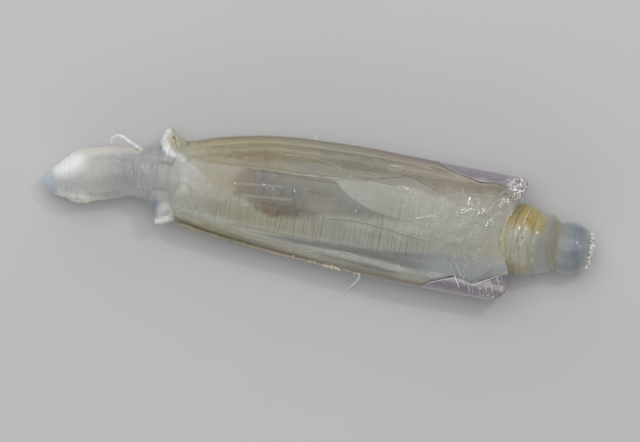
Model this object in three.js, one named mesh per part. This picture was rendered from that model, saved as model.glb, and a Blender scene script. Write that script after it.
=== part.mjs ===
// A small razor clam lying on its left valve: two thin, gaping shell valves joined by a ligament,
// with the soft body in them. The foot comes out of the front gape and the siphon out of the rear one.
//
// Frame while building, in millimetres: +X runs to the siphon end, +Y to the ventral margin and +Z up,
// from the left valve to the right one. X = 0 is the middle of the shell. The finished group is moved
// so that the middle of its footprint is the origin.
import * as THREE from 'three';

// Driving dimensions
const WALL = 0.5;              // thickness of a valve
const GAP = 0.3;               // clearance between neighbouring pieces
const INFLATION = 5.8;         // greatest height of a valve's crown above its rim
const FLAT = 5.7;              // the crown is worn flat at this height above the rim
const FULLNESS = 2.5;          // exponent of the cross section: 2 is an ellipse, more is boxier
const SHELL_FRONT = -32.5;     // foremost point of the shell
const HINGE_END = -1;          // the ligament runs from the front to here
const MEETING = FLAT + GAP / 2; // height of the plane in which the valves meet

// How finely the pieces are divided
const VALVE_LONG = 26;
const VALVE_ROUND = 14;
const MANTLE_SIDES = 26;
const TUBE_SIDES = 20;

const clamp = THREE.MathUtils.clamp;
const lerp = THREE.MathUtils.lerp;

// A smooth curve through [x, y] stations, read as y at a given x.
function profile(stations) {
  const curve = new THREE.SplineCurve(stations.map(([x, y]) => new THREE.Vector2(x, y)));
  const last = stations.length - 1;
  return (x) => {
    const at = clamp(x, stations[0][0], stations[last][0]);
    let i = 0;
    while (i < last - 1 && stations[i + 1][0] < at) i += 1;
    let low = i / last;
    let high = (i + 1) / last;
    for (let step = 0; step < 40; step += 1) {
      const middle = (low + high) / 2;
      if (curve.getPoint(middle).x < at) low = middle;
      else high = middle;
    }
    return curve.getPoint((low + high) / 2).y;
  };
}

// A smooth open outline through [x, y] points, read as a point at a share of its length.
function outline(points) {
  const curve = new THREE.SplineCurve(points.map(([x, y]) => new THREE.Vector2(x, y)));
  return (share) => curve.getPointAt(clamp(share, 0, 1));
}

// Shell margins
const ventral = profile([[-33, 5.9], [-30, 6.9], [-22, 9.15], [-13, 10.65], [0, 11.2], [12, 11],
  [27, 10.75], [31, 10.6]]);
const dorsal = profile([[-33, -6], [-29.6, -6.6], [-20.5, -7.95], [-8.5, -9.4], [-1, -10.3],
  [6, -11], [14, -11.3], [24.5, -11.45], [31, -11.4]]);
const frontMargin = outline([[-29.6, -6.6], [-31.6, -4.4], [SHELL_FRONT, -0.5], [-31.9, 3.8],
  [-30, 6.9]]);
const rearMargin = outline([[27.3, -11.42], [28.5, -10.8], [29.3, -9.4], [29.6, -7.2], [29.9, 0],
  [29.9, 6.3], [29.35, 7.7], [30.1, 9], [30.05, 10.1], [29.6, 10.66]]);

const inflation = profile([[-33, 4.9], [-22, 5.4], [-8, INFLATION], [14, INFLATION], [31, 5.3]]);

// How far across the shell a point lies: -1 at the dorsal margin, 1 at the ventral one.
function across(x, y) {
  const top = ventral(x);
  const bottom = dorsal(x);
  return clamp((2 * y - top - bottom) / (top - bottom), -1, 1);
}

// A point of the valve at a place along and across it, on a surface set inwards by inset.
function valvePoint(x, w, inset) {
  const middle = (ventral(x) + dorsal(x)) / 2;
  const half = (ventral(x) - dorsal(x)) / 2;
  const arch = Math.sqrt(Math.max(0, 1 - Math.abs(w) ** FULLNESS));
  const crown = Math.min(inflation(x) * arch, FLAT) - inset * arch;
  return [x, middle + w * (half - inset), Math.max(0, crown)];
}

// Where a grid of the valve lies in the plane: its four margins, blended.
function marginBlend(u, v) {
  const backX = lerp(-29.6, 27.3, u);
  const bellyX = lerp(-30, 29.6, u);
  const back = [backX, dorsal(backX)];
  const belly = [bellyX, ventral(bellyX)];
  const front = frontMargin(v);
  const rear = rearMargin(v);
  const blend = (axis, key) => {
    const lengthwise = lerp(back[axis], belly[axis], v);
    const crosswise = lerp(front[key], rear[key], u);
    const corners = lerp(lerp(frontMargin(0)[key], rearMargin(0)[key], u),
      lerp(frontMargin(1)[key], rearMargin(1)[key], u), v);
    return lengthwise + crosswise - corners;
  };
  return [blend(0, 'x'), blend(1, 'y')];
}

// Collects quads and fans of a closed surface and turns them into one geometry.
class Skin {
  constructor() {
    this.points = [];
    this.faces = [];
  }

  add(point) {
    this.points.push(point);
    return this.points.length - 1;
  }

  quad(a, b, c, d) {
    this.faces.push([a, b, c], [a, c, d]);
  }

  // Joins one closed ring of point numbers to the next.
  band(ring, next) {
    ring.forEach((a, i) => {
      const j = (i + 1) % ring.length;
      this.quad(a, next[i], next[j], ring[j]);
    });
  }

  // Closes a ring with a fan round its middle.
  cap(ring, reversed) {
    const middle = [0, 1, 2].map((k) => ring.reduce((sum, i) => sum + this.points[i][k], 0) / ring.length);
    const centre = this.add(middle);
    ring.forEach((a, i) => {
      const b = ring[(i + 1) % ring.length];
      this.faces.push(reversed ? [centre, b, a] : [centre, a, b]);
    });
  }

  // The surface with its faces pointing out.
  geometry() {
    const corner = (i) => new THREE.Vector3(...this.points[i]);
    const volume = this.faces.reduce(
      (sum, [a, b, c]) => sum + corner(a).dot(corner(b).cross(corner(c))), 0);
    const faces = volume > 0 ? this.faces : this.faces.map(([a, b, c]) => [a, c, b]);
    const shape = new THREE.BufferGeometry();
    shape.setAttribute('position', new THREE.Float32BufferAttribute(this.points.flat(), 3));
    shape.setIndex(faces.flat());
    shape.computeVertexNormals();
    return shape;
  }
}

// One valve: an outer and an inner sheet, joined all round their margins.
function valve(side) {
  const skin = new Skin();
  const sheet = (inset) => {
    const rows = [];
    for (let i = 0; i <= VALVE_LONG; i += 1) {
      const row = [];
      for (let j = 0; j <= VALVE_ROUND; j += 1) {
        const v = (1 - Math.cos((Math.PI * j) / VALVE_ROUND)) / 2;
        const [x, y] = marginBlend(i / VALVE_LONG, v);
        const rim = j === 0 || j === VALVE_ROUND;
        const w = rim ? Math.sign(j - 0.5) : across(x, y);
        const [px, py, height] = valvePoint(x, w, inset);
        row.push(skin.add([px, py, MEETING + side * (GAP / 2 + height)]));
      }
      rows.push(row);
    }
    return rows;
  };
  const outer = sheet(0);
  const inner = sheet(WALL);
  const wall = (a, b) => {
    for (let i = 0; i < a.length - 1; i += 1) skin.quad(a[i], b[i], b[i + 1], a[i + 1]);
  };
  for (let i = 0; i < VALVE_LONG; i += 1) {
    wall(outer[i + 1], outer[i]);
    wall(inner[i], inner[i + 1]);
  }
  const column = (rows, j) => rows.map((row) => row[j]);
  wall(column(inner, 0), column(outer, 0));
  wall(column(outer, VALVE_ROUND), column(inner, VALVE_ROUND));
  wall(outer[0], inner[0]);
  wall(inner[VALVE_LONG], outer[VALVE_LONG]);
  return skin.geometry();
}

// A strip that follows the dorsal margin on the outside, tapering to the rear.
function ligament() {
  const skin = new Skin();
  const steps = 18;
  const rings = [];
  for (let i = 0; i <= steps; i += 1) {
    const x = lerp(-29, HINGE_END, i / steps);
    const width = lerp(0.75, 0.3, i / steps);
    const thick = lerp(0.8, 0.4, i / steps);
    const inside = dorsal(x) - GAP;
    rings.push([[0, 0.5], [-0.7, 1], [-1, 0.5], [-1, -0.5], [-0.7, -1], [0, -0.5]].map(
      ([out, up]) => skin.add([x, inside + out * width, MEETING + up * thick])));
  }
  for (let i = 0; i < steps; i += 1) skin.band(rings[i], rings[i + 1]);
  skin.cap(rings[0], false);
  skin.cap(rings[steps], true);
  return skin.geometry();
}

// A ring round a soft tube, between its ventral and dorsal edge points, never below the surface it lies on.
function tubeRing(skin, top, bottom, thick, height, grow = 0) {
  const middle = new THREE.Vector2().addVectors(top, bottom).multiplyScalar(0.5);
  const arm = new THREE.Vector2().subVectors(top, bottom).multiplyScalar(0.5);
  arm.setLength(arm.length() + grow);
  const ring = [];
  for (let k = 0; k < TUBE_SIDES; k += 1) {
    const turn = (2 * Math.PI * k) / TUBE_SIDES;
    const lean = Math.cos(turn);
    const z = Math.max(0, height + Math.sin(turn) * (thick + grow));
    ring.push(skin.add([middle.x + arm.x * lean, middle.y + arm.y * lean, z]));
  }
  return ring;
}

// The foot: ventral and dorsal outlines from its tip to its root in the collar.
const footTop = outline([[-53.6, -4.1], [-53.2, -2.7], [-51.5, -0.8], [-49.5, 1.4], [-47.3, 2.75],
  [-43, 3.85], [-38, 4.4], [-34, 4.9], [-28.5, 4.6]]);
const footBottom = outline([[-53.6, -4.3], [-52.9, -5.3], [-50.5, -6.35], [-48, -6.8],
  [-45.5, -6.7], [-42.5, -5.6], [-37, -4.3], [-34, -4.6], [-28.5, -4.6]]);
const footThickness = profile([[-54, 0.4], [-52.8, 2], [-50.5, 3.5], [-47, 4.3], [-42, 4.1],
  [-36, 3.7], [-33.5, 3.2], [-28, 3.1]]);
const footHeight = profile([[-54, 3.3], [-50, 3.6], [-46, 4.2], [-40, 4.1], [-36, 5],
  [-33.8, 5.7], [-31, MEETING], [-28, MEETING]]);

function foot() {
  const skin = new Skin();
  const steps = 20;
  const rings = [];
  for (let i = 0; i <= steps; i += 1) {
    const share = (i / steps) ** 1.2;
    const top = footTop(share);
    const bottom = footBottom(share);
    const x = (top.x + bottom.x) / 2;
    rings.push(tubeRing(skin, top, bottom, footThickness(x), footHeight(x)));
  }
  for (let i = 0; i < steps; i += 1) skin.band(rings[i], rings[i + 1]);
  skin.cap(rings[0], false);
  skin.cap(rings[steps], true);
  return skin.geometry();
}

// The siphon's outer form: its skin covers the base, up to the waist.
const siphonTop = profile([[27, 4.9], [28.5, 5.8], [30.5, 6.15], [33, 5.9], [36, 5.1], [37.4, 4.1],
  [38.3, 4.25], [39.8, 4.45], [41.6, 4.05], [42.6, 3.3], [43.3, 2.2]]);
const siphonBottom = profile([[27, -5], [28.5, -5.8], [31, -6.2], [33.5, -6], [36, -5.1], [37.3, -4.4],
  [38.3, -4.8], [39.6, -4.9], [41.6, -4.1], [42.6, -3.2], [43.3, -1.8]]);
const siphonThickness = profile([[27, 3.6], [30.3, 4.1], [33, 4.8], [36, 4.5], [37.4, 3.9],
  [39.5, 4.4], [41.8, 3.9], [43.3, 2]]);
const siphonHeight = profile([[27, MEETING], [30.3, MEETING - 0.1], [34, 5], [38, 4.2],
  [43.3, 4]]);

const SKIN_WALL = 0.5;
const SKIN_START = 28;
const SKIN_END = 37;

function siphonRing(skin, x, inset) {
  const top = new THREE.Vector2(x, siphonTop(x));
  const bottom = new THREE.Vector2(x, siphonBottom(x));
  return tubeRing(skin, top, bottom, siphonThickness(x), siphonHeight(x), -inset);
}

function siphon() {
  const skin = new Skin();
  const underSkin = SKIN_WALL + GAP;
  const stations = [27.6, 29.5, 31.5, 33.5, 35.5, 37, 37.35, 38.2, 39.4, 40.6, 41.7, 42.6, 43.2];
  const rings = stations.map((x) => siphonRing(skin, x, x <= SKIN_END ? underSkin : 0));
  for (let i = 0; i < rings.length - 1; i += 1) skin.band(rings[i], rings[i + 1]);
  skin.cap(rings[0], false);
  skin.cap(rings[rings.length - 1], true);
  return skin.geometry();
}

// The sleeve of skin: an outer and an inner tube, joined at both ends.
function siphonSkin() {
  const skin = new Skin();
  const steps = 8;
  const outer = [];
  const inner = [];
  for (let i = 0; i <= steps; i += 1) {
    const x = lerp(SKIN_START, SKIN_END, i / steps);
    outer.push(siphonRing(skin, x, 0));
    inner.push(siphonRing(skin, x, SKIN_WALL));
  }
  for (let i = 0; i < steps; i += 1) {
    skin.band(outer[i], outer[i + 1]);
    skin.band(inner[i + 1], inner[i]);
  }
  skin.band(inner[0], outer[0]);
  skin.band(outer[steps], inner[steps]);
  return skin.geometry();
}

// The body sac's own outline: it fills the shell, but leaves both rear corners empty.
const mantleTop = profile([[-31, 5.1], [-27, 7], [-20, 8.8], [-10, 10.1], [0, 10.35], [12, 10.1],
  [18, 9.2], [24, 8.7], [26.9, 7]]);
const mantleBottom = profile([[-31, -5], [-27, -6.2], [-20, -7.1], [-8, -8.6], [4, -9.9],
  [14, -10.2], [19, -9], [24, -8.7], [26.9, -7]]);

// A ring of the sac inside the shell, kept clear of both valves.
function mantleRing(skin, x, shrink) {
  const top = mantleTop(x) * shrink;
  const bottom = mantleBottom(x) * shrink;
  const ring = [];
  for (let k = 0; k < MANTLE_SIDES; k += 1) {
    const turn = (2 * Math.PI * (k + 0.5)) / MANTLE_SIDES;
    const y = (top + bottom) / 2 + (Math.cos(turn) * (top - bottom)) / 2;
    const inset = WALL + GAP;
    const half = (ventral(x) - dorsal(x)) / 2;
    const w = clamp((across(x, y) * half) / (half - inset), -1, 1);
    const room = valvePoint(x, w, inset)[2] + GAP / 2;
    const own = shrink * (inflation(x) - inset) * Math.abs(Math.sin(turn)) ** 0.7;
    ring.push(skin.add([x, y, MEETING + Math.sign(Math.sin(turn)) * Math.min(room, own)]));
  }
  return ring;
}

// A ring of the collar in front of the shell, bowed forwards as the shell's margin is.
function collarRing(skin, { edge, bow, top, bottom, thick }) {
  const ring = [];
  for (let k = 0; k < MANTLE_SIDES; k += 1) {
    const turn = (2 * Math.PI * (k + 0.5)) / MANTLE_SIDES;
    const lean = Math.cos(turn);
    const y = (top + bottom) / 2 + (lean * (top - bottom)) / 2;
    ring.push(skin.add([edge - bow * (1 - lean * lean), y, MEETING + Math.sin(turn) * thick]));
  }
  return ring;
}

// The sac, from the bottom of the foot's socket, round the collar's lip and back to the rear.
function mantle() {
  const skin = new Skin();
  const rings = [
    { edge: -27.8, bow: 0, top: 5.1, bottom: -5.1, thick: 3.5 },
    { edge: -31, bow: 0, top: 5.15, bottom: -5.05, thick: 3.55 },
    { edge: -33.6, bow: 0.6, top: 5.35, bottom: -5.1, thick: 3.95 },
    { edge: -34, bow: 0.5, top: 6.2, bottom: -5.9, thick: 4.4 },
    { edge: -33.6, bow: 0.6, top: 7.9, bottom: -7.3, thick: 4.9 },
    { edge: -32.7, bow: 1.2, top: 8.7, bottom: -8.2, thick: 5.1 },
    { edge: -31.6, bow: 1.9, top: 8, bottom: -7.8, thick: 4.9 },
    { edge: -31.3, bow: 1.9, top: 5.9, bottom: -5.6, thick: 3.95 },
  ].map((ring) => collarRing(skin, ring));
  [-28.5, -25, -21, -17, -12, -6, 0, 6, 11, 15, 18, 21.5, 24.5, 26.4].forEach((x) => {
    rings.push(mantleRing(skin, x, 1));
  });
  rings.push(mantleRing(skin, 26.9, 0.8));
  for (let i = 0; i < rings.length - 1; i += 1) skin.band(rings[i], rings[i + 1]);
  skin.cap(rings[0], false);
  skin.cap(rings[rings.length - 1], true);
  return skin.geometry();
}

const body = new THREE.Group();

function addPiece(name, geometry, colour, roughness) {
  const material = new THREE.MeshStandardMaterial({ color: colour, roughness, metalness: 0 });
  const piece = new THREE.Mesh(geometry, material);
  piece.name = name;
  body.add(piece);
}

addPiece('right_valve', valve(1), 0xb9b08f, 0.2);
addPiece('left_valve', valve(-1), 0xb3a994, 0.2);
addPiece('ligament', ligament(), 0xb89b5e, 0.5);
addPiece('mantle', mantle(), 0x9d9985, 0.35);
addPiece('foot', foot(), 0xaeb2b2, 0.35);
addPiece('siphon', siphon(), 0x9fa9ab, 0.3);
addPiece('siphon_skin', siphonSkin(), 0xb19a66, 0.45);

// The origin is the middle of the footprint, on the surface that the shell lies on.
const bounds = new THREE.Box3().setFromObject(body);
const centre = bounds.getCenter(new THREE.Vector3());
body.position.set(-centre.x, -centre.y, -bounds.min.z);

const clam = new THREE.Group();
clam.add(body);

export default clam;
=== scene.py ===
# %% [markdown]
# # A small razor clam, lying on its left valve
#
# The animal's shell is two thin, gaping valves, so clear that the soft body shows through them.
# The foot sticks out of the front, inside a torn white collar, and the ringed siphon out of the rear.
# This lesson builds every piece around a packed construction model, which we call the frame.
# The frame gives all sizes and places. We only give each piece its fine shape and its finish.

# %% Load the frame
import math

import bmesh
import bpy
import numpy as np
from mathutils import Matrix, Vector, noise


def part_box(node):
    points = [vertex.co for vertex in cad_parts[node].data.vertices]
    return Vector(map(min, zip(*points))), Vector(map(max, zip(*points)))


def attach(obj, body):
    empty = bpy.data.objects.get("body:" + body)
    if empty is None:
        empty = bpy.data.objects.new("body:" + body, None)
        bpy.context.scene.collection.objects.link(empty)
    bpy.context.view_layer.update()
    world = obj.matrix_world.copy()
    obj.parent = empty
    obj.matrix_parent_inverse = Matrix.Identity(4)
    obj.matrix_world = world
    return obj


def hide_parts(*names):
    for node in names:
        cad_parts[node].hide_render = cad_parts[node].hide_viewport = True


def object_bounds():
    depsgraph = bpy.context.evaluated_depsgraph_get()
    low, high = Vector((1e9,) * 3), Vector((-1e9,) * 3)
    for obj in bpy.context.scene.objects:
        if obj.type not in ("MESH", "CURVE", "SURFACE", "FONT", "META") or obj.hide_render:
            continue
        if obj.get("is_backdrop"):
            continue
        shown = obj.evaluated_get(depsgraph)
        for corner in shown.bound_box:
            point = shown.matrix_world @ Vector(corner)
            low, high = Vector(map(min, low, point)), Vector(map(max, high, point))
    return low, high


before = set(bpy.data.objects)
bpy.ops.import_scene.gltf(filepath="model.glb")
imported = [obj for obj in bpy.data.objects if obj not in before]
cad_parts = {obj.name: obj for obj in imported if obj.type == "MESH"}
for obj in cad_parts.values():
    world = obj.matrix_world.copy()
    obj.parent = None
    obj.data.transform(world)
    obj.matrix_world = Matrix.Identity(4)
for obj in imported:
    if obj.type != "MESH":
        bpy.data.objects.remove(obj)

cad_low, cad_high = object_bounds()
print("pieces in the frame:", sorted(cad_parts))
print("size in mm:", [round(1000 * side, 1) for side in cad_high - cad_low])

# %% [markdown]
# ## One ruler for everything
#
# It is easiest to think of the clam in millimetres, measured from the middle of its shell. X runs to the
# siphon, Y to the belly margin and Z up. Blender works in metres, so one small function changes our
# numbers over. Two facts tie it to the frame: where the shell's rearmost and bellymost points are.

# %% The ruler
MM = 0.001
REARMOST = 30.15  # of the shell, from its middle
BELLYMOST = 11.2

valve_low, valve_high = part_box("right_valve")
_, under_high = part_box("left_valve")
SHIFT = np.array([valve_high.x / MM - REARMOST, valve_high.y / MM - BELLYMOST, 0.0])
MEETING = (valve_low.z + under_high.z) / 2 / MM  # height of the plane in which the valves meet
CROWN = valve_high.z / MM - MEETING  # from that plane to the crown of either valve


def metres(points):
    """Points in shell millimetres, as points of the frame."""
    return (np.asarray(points, float) + SHIFT) * MM


print("valves meet", round(MEETING, 2), "mm up, crowns", round(CROWN, 2), "mm from there")

# %% [markdown]
# ## Smooth lines through a few points
#
# A Catmull-Rom spline passes a smooth line through the few points that give an outline its shape.
# `profile` reads such a line as a height at a given x, and `outline` as a place at a given share of
# its length. Both work on whole arrays at once, which keeps the script quick.


# %% Splines
def spline(points, steps=24):
    p = np.array(points, float)
    p = np.vstack([2 * p[0] - p[1], p, 2 * p[-1] - p[-2]])
    t = np.linspace(0, 1, steps, endpoint=False)[:, None]
    pieces = []
    for a, b, c, d in zip(p, p[1:], p[2:], p[3:]):
        bend = (c - a) * t + (2 * a - 5 * b + 4 * c - d) * t**2 + (3 * b - a - 3 * c + d) * t**3
        pieces.append(b + bend / 2)
    return np.vstack([*pieces, p[-2:-1]])


def profile(points):
    line = spline(points)
    return lambda x: np.interp(x, line[:, 0], line[:, 1])


def outline(points):
    line = spline(points)
    length = np.concatenate([[0], np.cumsum(np.linalg.norm(np.diff(line, axis=0), axis=1))])
    share = length / length[-1]
    return lambda s: np.stack([np.interp(s, share, line[:, k]) for k in range(line.shape[1])], -1)


def ease(low, high, x):
    """0 below low, 1 above high, and a smooth step between."""
    t = np.clip((x - low) / (high - low), 0, 1)
    return t * t * (3 - 2 * t)


def mix(a, b, t):
    return a + (b - a) * t


def turns(count):
    """Angles evenly round a ring."""
    return np.linspace(0, 2 * np.pi, count, endpoint=False)


# %% [markdown]
# ## Soft randomness
#
# Nothing that grew is perfectly even. `ripple` is smooth noise along a line, from a seeded table of
# random numbers, and `lumps` is smooth noise in space. Both give the same result on every run.


# %% Noise
def ripple(x, seed):
    """Smooth noise from -1 to 1 along x, with about one swing per unit."""
    table = np.random.default_rng(seed).uniform(-1, 1, 512)
    x = np.asarray(x, float) + 1000.0
    i = np.floor(x).astype(int)
    t = x - i
    t = t * t * (3 - 2 * t)
    return mix(table[i % 512], table[(i + 1) % 512], t)


def lumps(points, size, seed=0, octaves=3):
    """Smooth noise from about -1 to 1 at points, with lumps of about size millimetres."""
    flat = np.asarray(points, float).reshape(-1, 3) / size + 17.3 * seed
    values = [noise.fractal(Vector(p), 1.0, 2.0, octaves, noise_basis="PERLIN_ORIGINAL") for p in flat]
    return np.array(values).reshape(np.asarray(points).shape[:-1])


# %% [markdown]
# ## From rows of points to a closed mesh
#
# Two shapes cover almost all of the clam. A *sack* is a stack of closed rings, capped at both ends.
# A *leaf* is a thin sheet with an outer and an inner side, joined all round its margin.
# `add_mesh` checks that the faces point outwards by the sign of the enclosed volume.


# %% Mesh helpers
def add_mesh(name, points, faces, values=None):
    """A smooth-shaded object from points in shell millimetres. values holds named numbers per point."""
    points = np.asarray(points, float)
    corners = [points[[f[i] for f in faces]] for i in (0, 1, 2)]
    volume = np.einsum("ij,ij->i", corners[0], np.cross(corners[1], corners[2])).sum()
    if volume < 0:
        faces = [f[::-1] for f in faces]
    mesh = bpy.data.meshes.new(name)
    mesh.from_pydata(metres(points).tolist(), [], faces)
    mesh.polygons.foreach_set("use_smooth", [True] * len(mesh.polygons))
    for key, numbers in (values or {}).items():
        layer = mesh.attributes.new(key, "FLOAT", "POINT")
        layer.data.foreach_set("value", np.asarray(numbers, float).ravel())
    piece = bpy.data.objects.new(name, mesh)
    bpy.context.scene.collection.objects.link(piece)
    print(f"{name}: {len(points)} points, {len(faces)} faces")
    return piece


def strip(a, b):
    """Quads between two rows of point numbers."""
    return [(a[i], b[i], b[i + 1], a[i + 1]) for i in range(len(a) - 1)]


def sack(name, rings, values=None):
    """rings is (rings, points round, 3). Both ends are closed by a fan."""
    n, m, _ = rings.shape
    number = np.arange(n * m).reshape(n, m)
    loop = np.hstack([number, number[:, :1]])
    faces = [q for i in range(n - 1) for q in strip(loop[i].tolist(), loop[i + 1].tolist())]
    points = np.vstack([rings.reshape(-1, 3), rings[0].mean(0), rings[-1].mean(0)])
    first, last = n * m, n * m + 1
    faces += [(first, b, a) for a, b in zip(loop[0].tolist()[1:], loop[0].tolist()[:-1])]
    faces += [(last, a, b) for a, b in zip(loop[-1].tolist()[1:], loop[-1].tolist()[:-1])]
    extra = {k: np.append(v.ravel(), [v[0].mean(), v[-1].mean()]) for k, v in (values or {}).items()}
    return add_mesh(name, points, faces, extra)


def leaf(name, outer, inner, values=None):
    """outer and inner are (rows, columns, 3). values are given for the outer side and used on both."""
    n, m, _ = outer.shape
    a = np.arange(n * m).reshape(n, m)
    b = a + n * m
    faces = []
    for i in range(n - 1):
        faces += strip(a[i + 1].tolist(), a[i].tolist()) + strip(b[i].tolist(), b[i + 1].tolist())
    faces += strip(b[:, 0].tolist(), a[:, 0].tolist()) + strip(a[:, -1].tolist(), b[:, -1].tolist())
    faces += strip(a[0].tolist(), b[0].tolist()) + strip(b[-1].tolist(), a[-1].tolist())
    both = {k: np.concatenate([v.ravel(), v.ravel()]) for k, v in (values or {}).items()}
    return add_mesh(name, np.vstack([outer.reshape(-1, 3), inner.reshape(-1, 3)]), faces, both)


def hose(name, points, radii, sides=8, values=None):
    """A closed tube along points, with a radius at each, for threads and fibres."""
    points = np.asarray(points, float)
    along = np.gradient(points, axis=0)
    along /= np.linalg.norm(along, axis=1, keepdims=True)
    side = np.cross(along, [0.0, 0.31, 0.95])
    side /= np.linalg.norm(side, axis=1, keepdims=True)
    up = np.cross(side, along)
    turn = turns(sides)[:, None]
    round_ = np.cos(turn) * side[:, None] + np.sin(turn) * up[:, None]
    return sack(name, points[:, None] + round_ * np.asarray(radii)[:, None, None], values)


# %% [markdown]
# ## Stage, light and camera
#
# Thin wet tissue looks best in light that is large and soft, so one big softbox hangs overhead and two
# long ones graze the sides. One small lamp adds the pin-sharp glints of a wet surface. The camera looks
# straight down from far off through a long lens, turned a little, so that the clam lies slantwise.

# %% Stage
ACROSS_FRAME = 112.0    # millimetres of the clam's plane that the frame is wide
LENS_HEIGHT = 600.0
SLANT = math.radians(9.8)
FRAME_MIDDLE = (-4.9, -2.1)  # where the frame's middle lies, from the shell's, along the frame's own axes

scene = bpy.context.scene
scene.view_settings.view_transform = "Standard"
right = np.array([math.cos(SLANT), math.sin(SLANT), 0])
up = np.array([-math.sin(SLANT), math.cos(SLANT), 0])
aim = right * FRAME_MIDDLE[0] + up * FRAME_MIDDLE[1]

camera_data = bpy.data.cameras.new("camera")
camera_data.sensor_width = 36.0
camera_data.lens = camera_data.sensor_width * LENS_HEIGHT / ACROSS_FRAME
camera_data.clip_start = 0.01
camera = bpy.data.objects.new("camera", camera_data)
camera.location = metres(aim + [0, 0, LENS_HEIGHT + MEETING])
camera.rotation_euler = (0, 0, SLANT)
scene.collection.objects.link(camera)
scene.camera = camera


def softbox(name, place, width, depth, power):
    """An area light at a place in shell millimetres, aimed at the clam."""
    data = bpy.data.lights.new(name, "AREA")
    data.shape = "RECTANGLE"
    data.size, data.size_y = width * MM, depth * MM
    data.energy = power
    lamp = bpy.data.objects.new(name, data)
    lamp.location = metres(place)
    target = Vector(metres((0, 0, MEETING)))
    lamp.rotation_euler = (target - lamp.location).to_track_quat("-Z", "Y").to_euler()
    scene.collection.objects.link(lamp)
    return lamp


softbox("overhead", (-60, 120, 420), 420, 420, 1.0)
softbox("near_side", (-30, -330, 150), 520, 120, 0.32)
softbox("far_side", (-120, 330, 130), 520, 120, 0.32)
softbox("glint", (120, 160, 330), 26, 26, 0.14)

world = bpy.data.worlds.new("studio")
world.use_nodes = True
world.node_tree.nodes["Background"].inputs["Color"].default_value = (1, 1, 1, 1)
world.node_tree.nodes["Background"].inputs["Strength"].default_value = 0.3
scene.world = world

# %% [markdown]
# ## Writing materials as formulas
#
# The small class below adds one node per call and hands back its output, so a mask or a colour can be
# written as a formula. `paint` lays one shade after another over a colour, where a mask says. Colours
# are given as they look on screen, from 0 to 255.


# %% A shorthand for nodes
def tint(red, green, blue):
    """A screen colour as the linear colour that shaders use."""
    linear = [c / 12.92 if c <= 0.04045 else ((c + 0.055) / 1.055) ** 2.4
              for c in (red / 255, green / 255, blue / 255)]
    return (*linear, 1.0)


CURVE_REACH = 50.0  # contours are read between -50 and 50 mm


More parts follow.
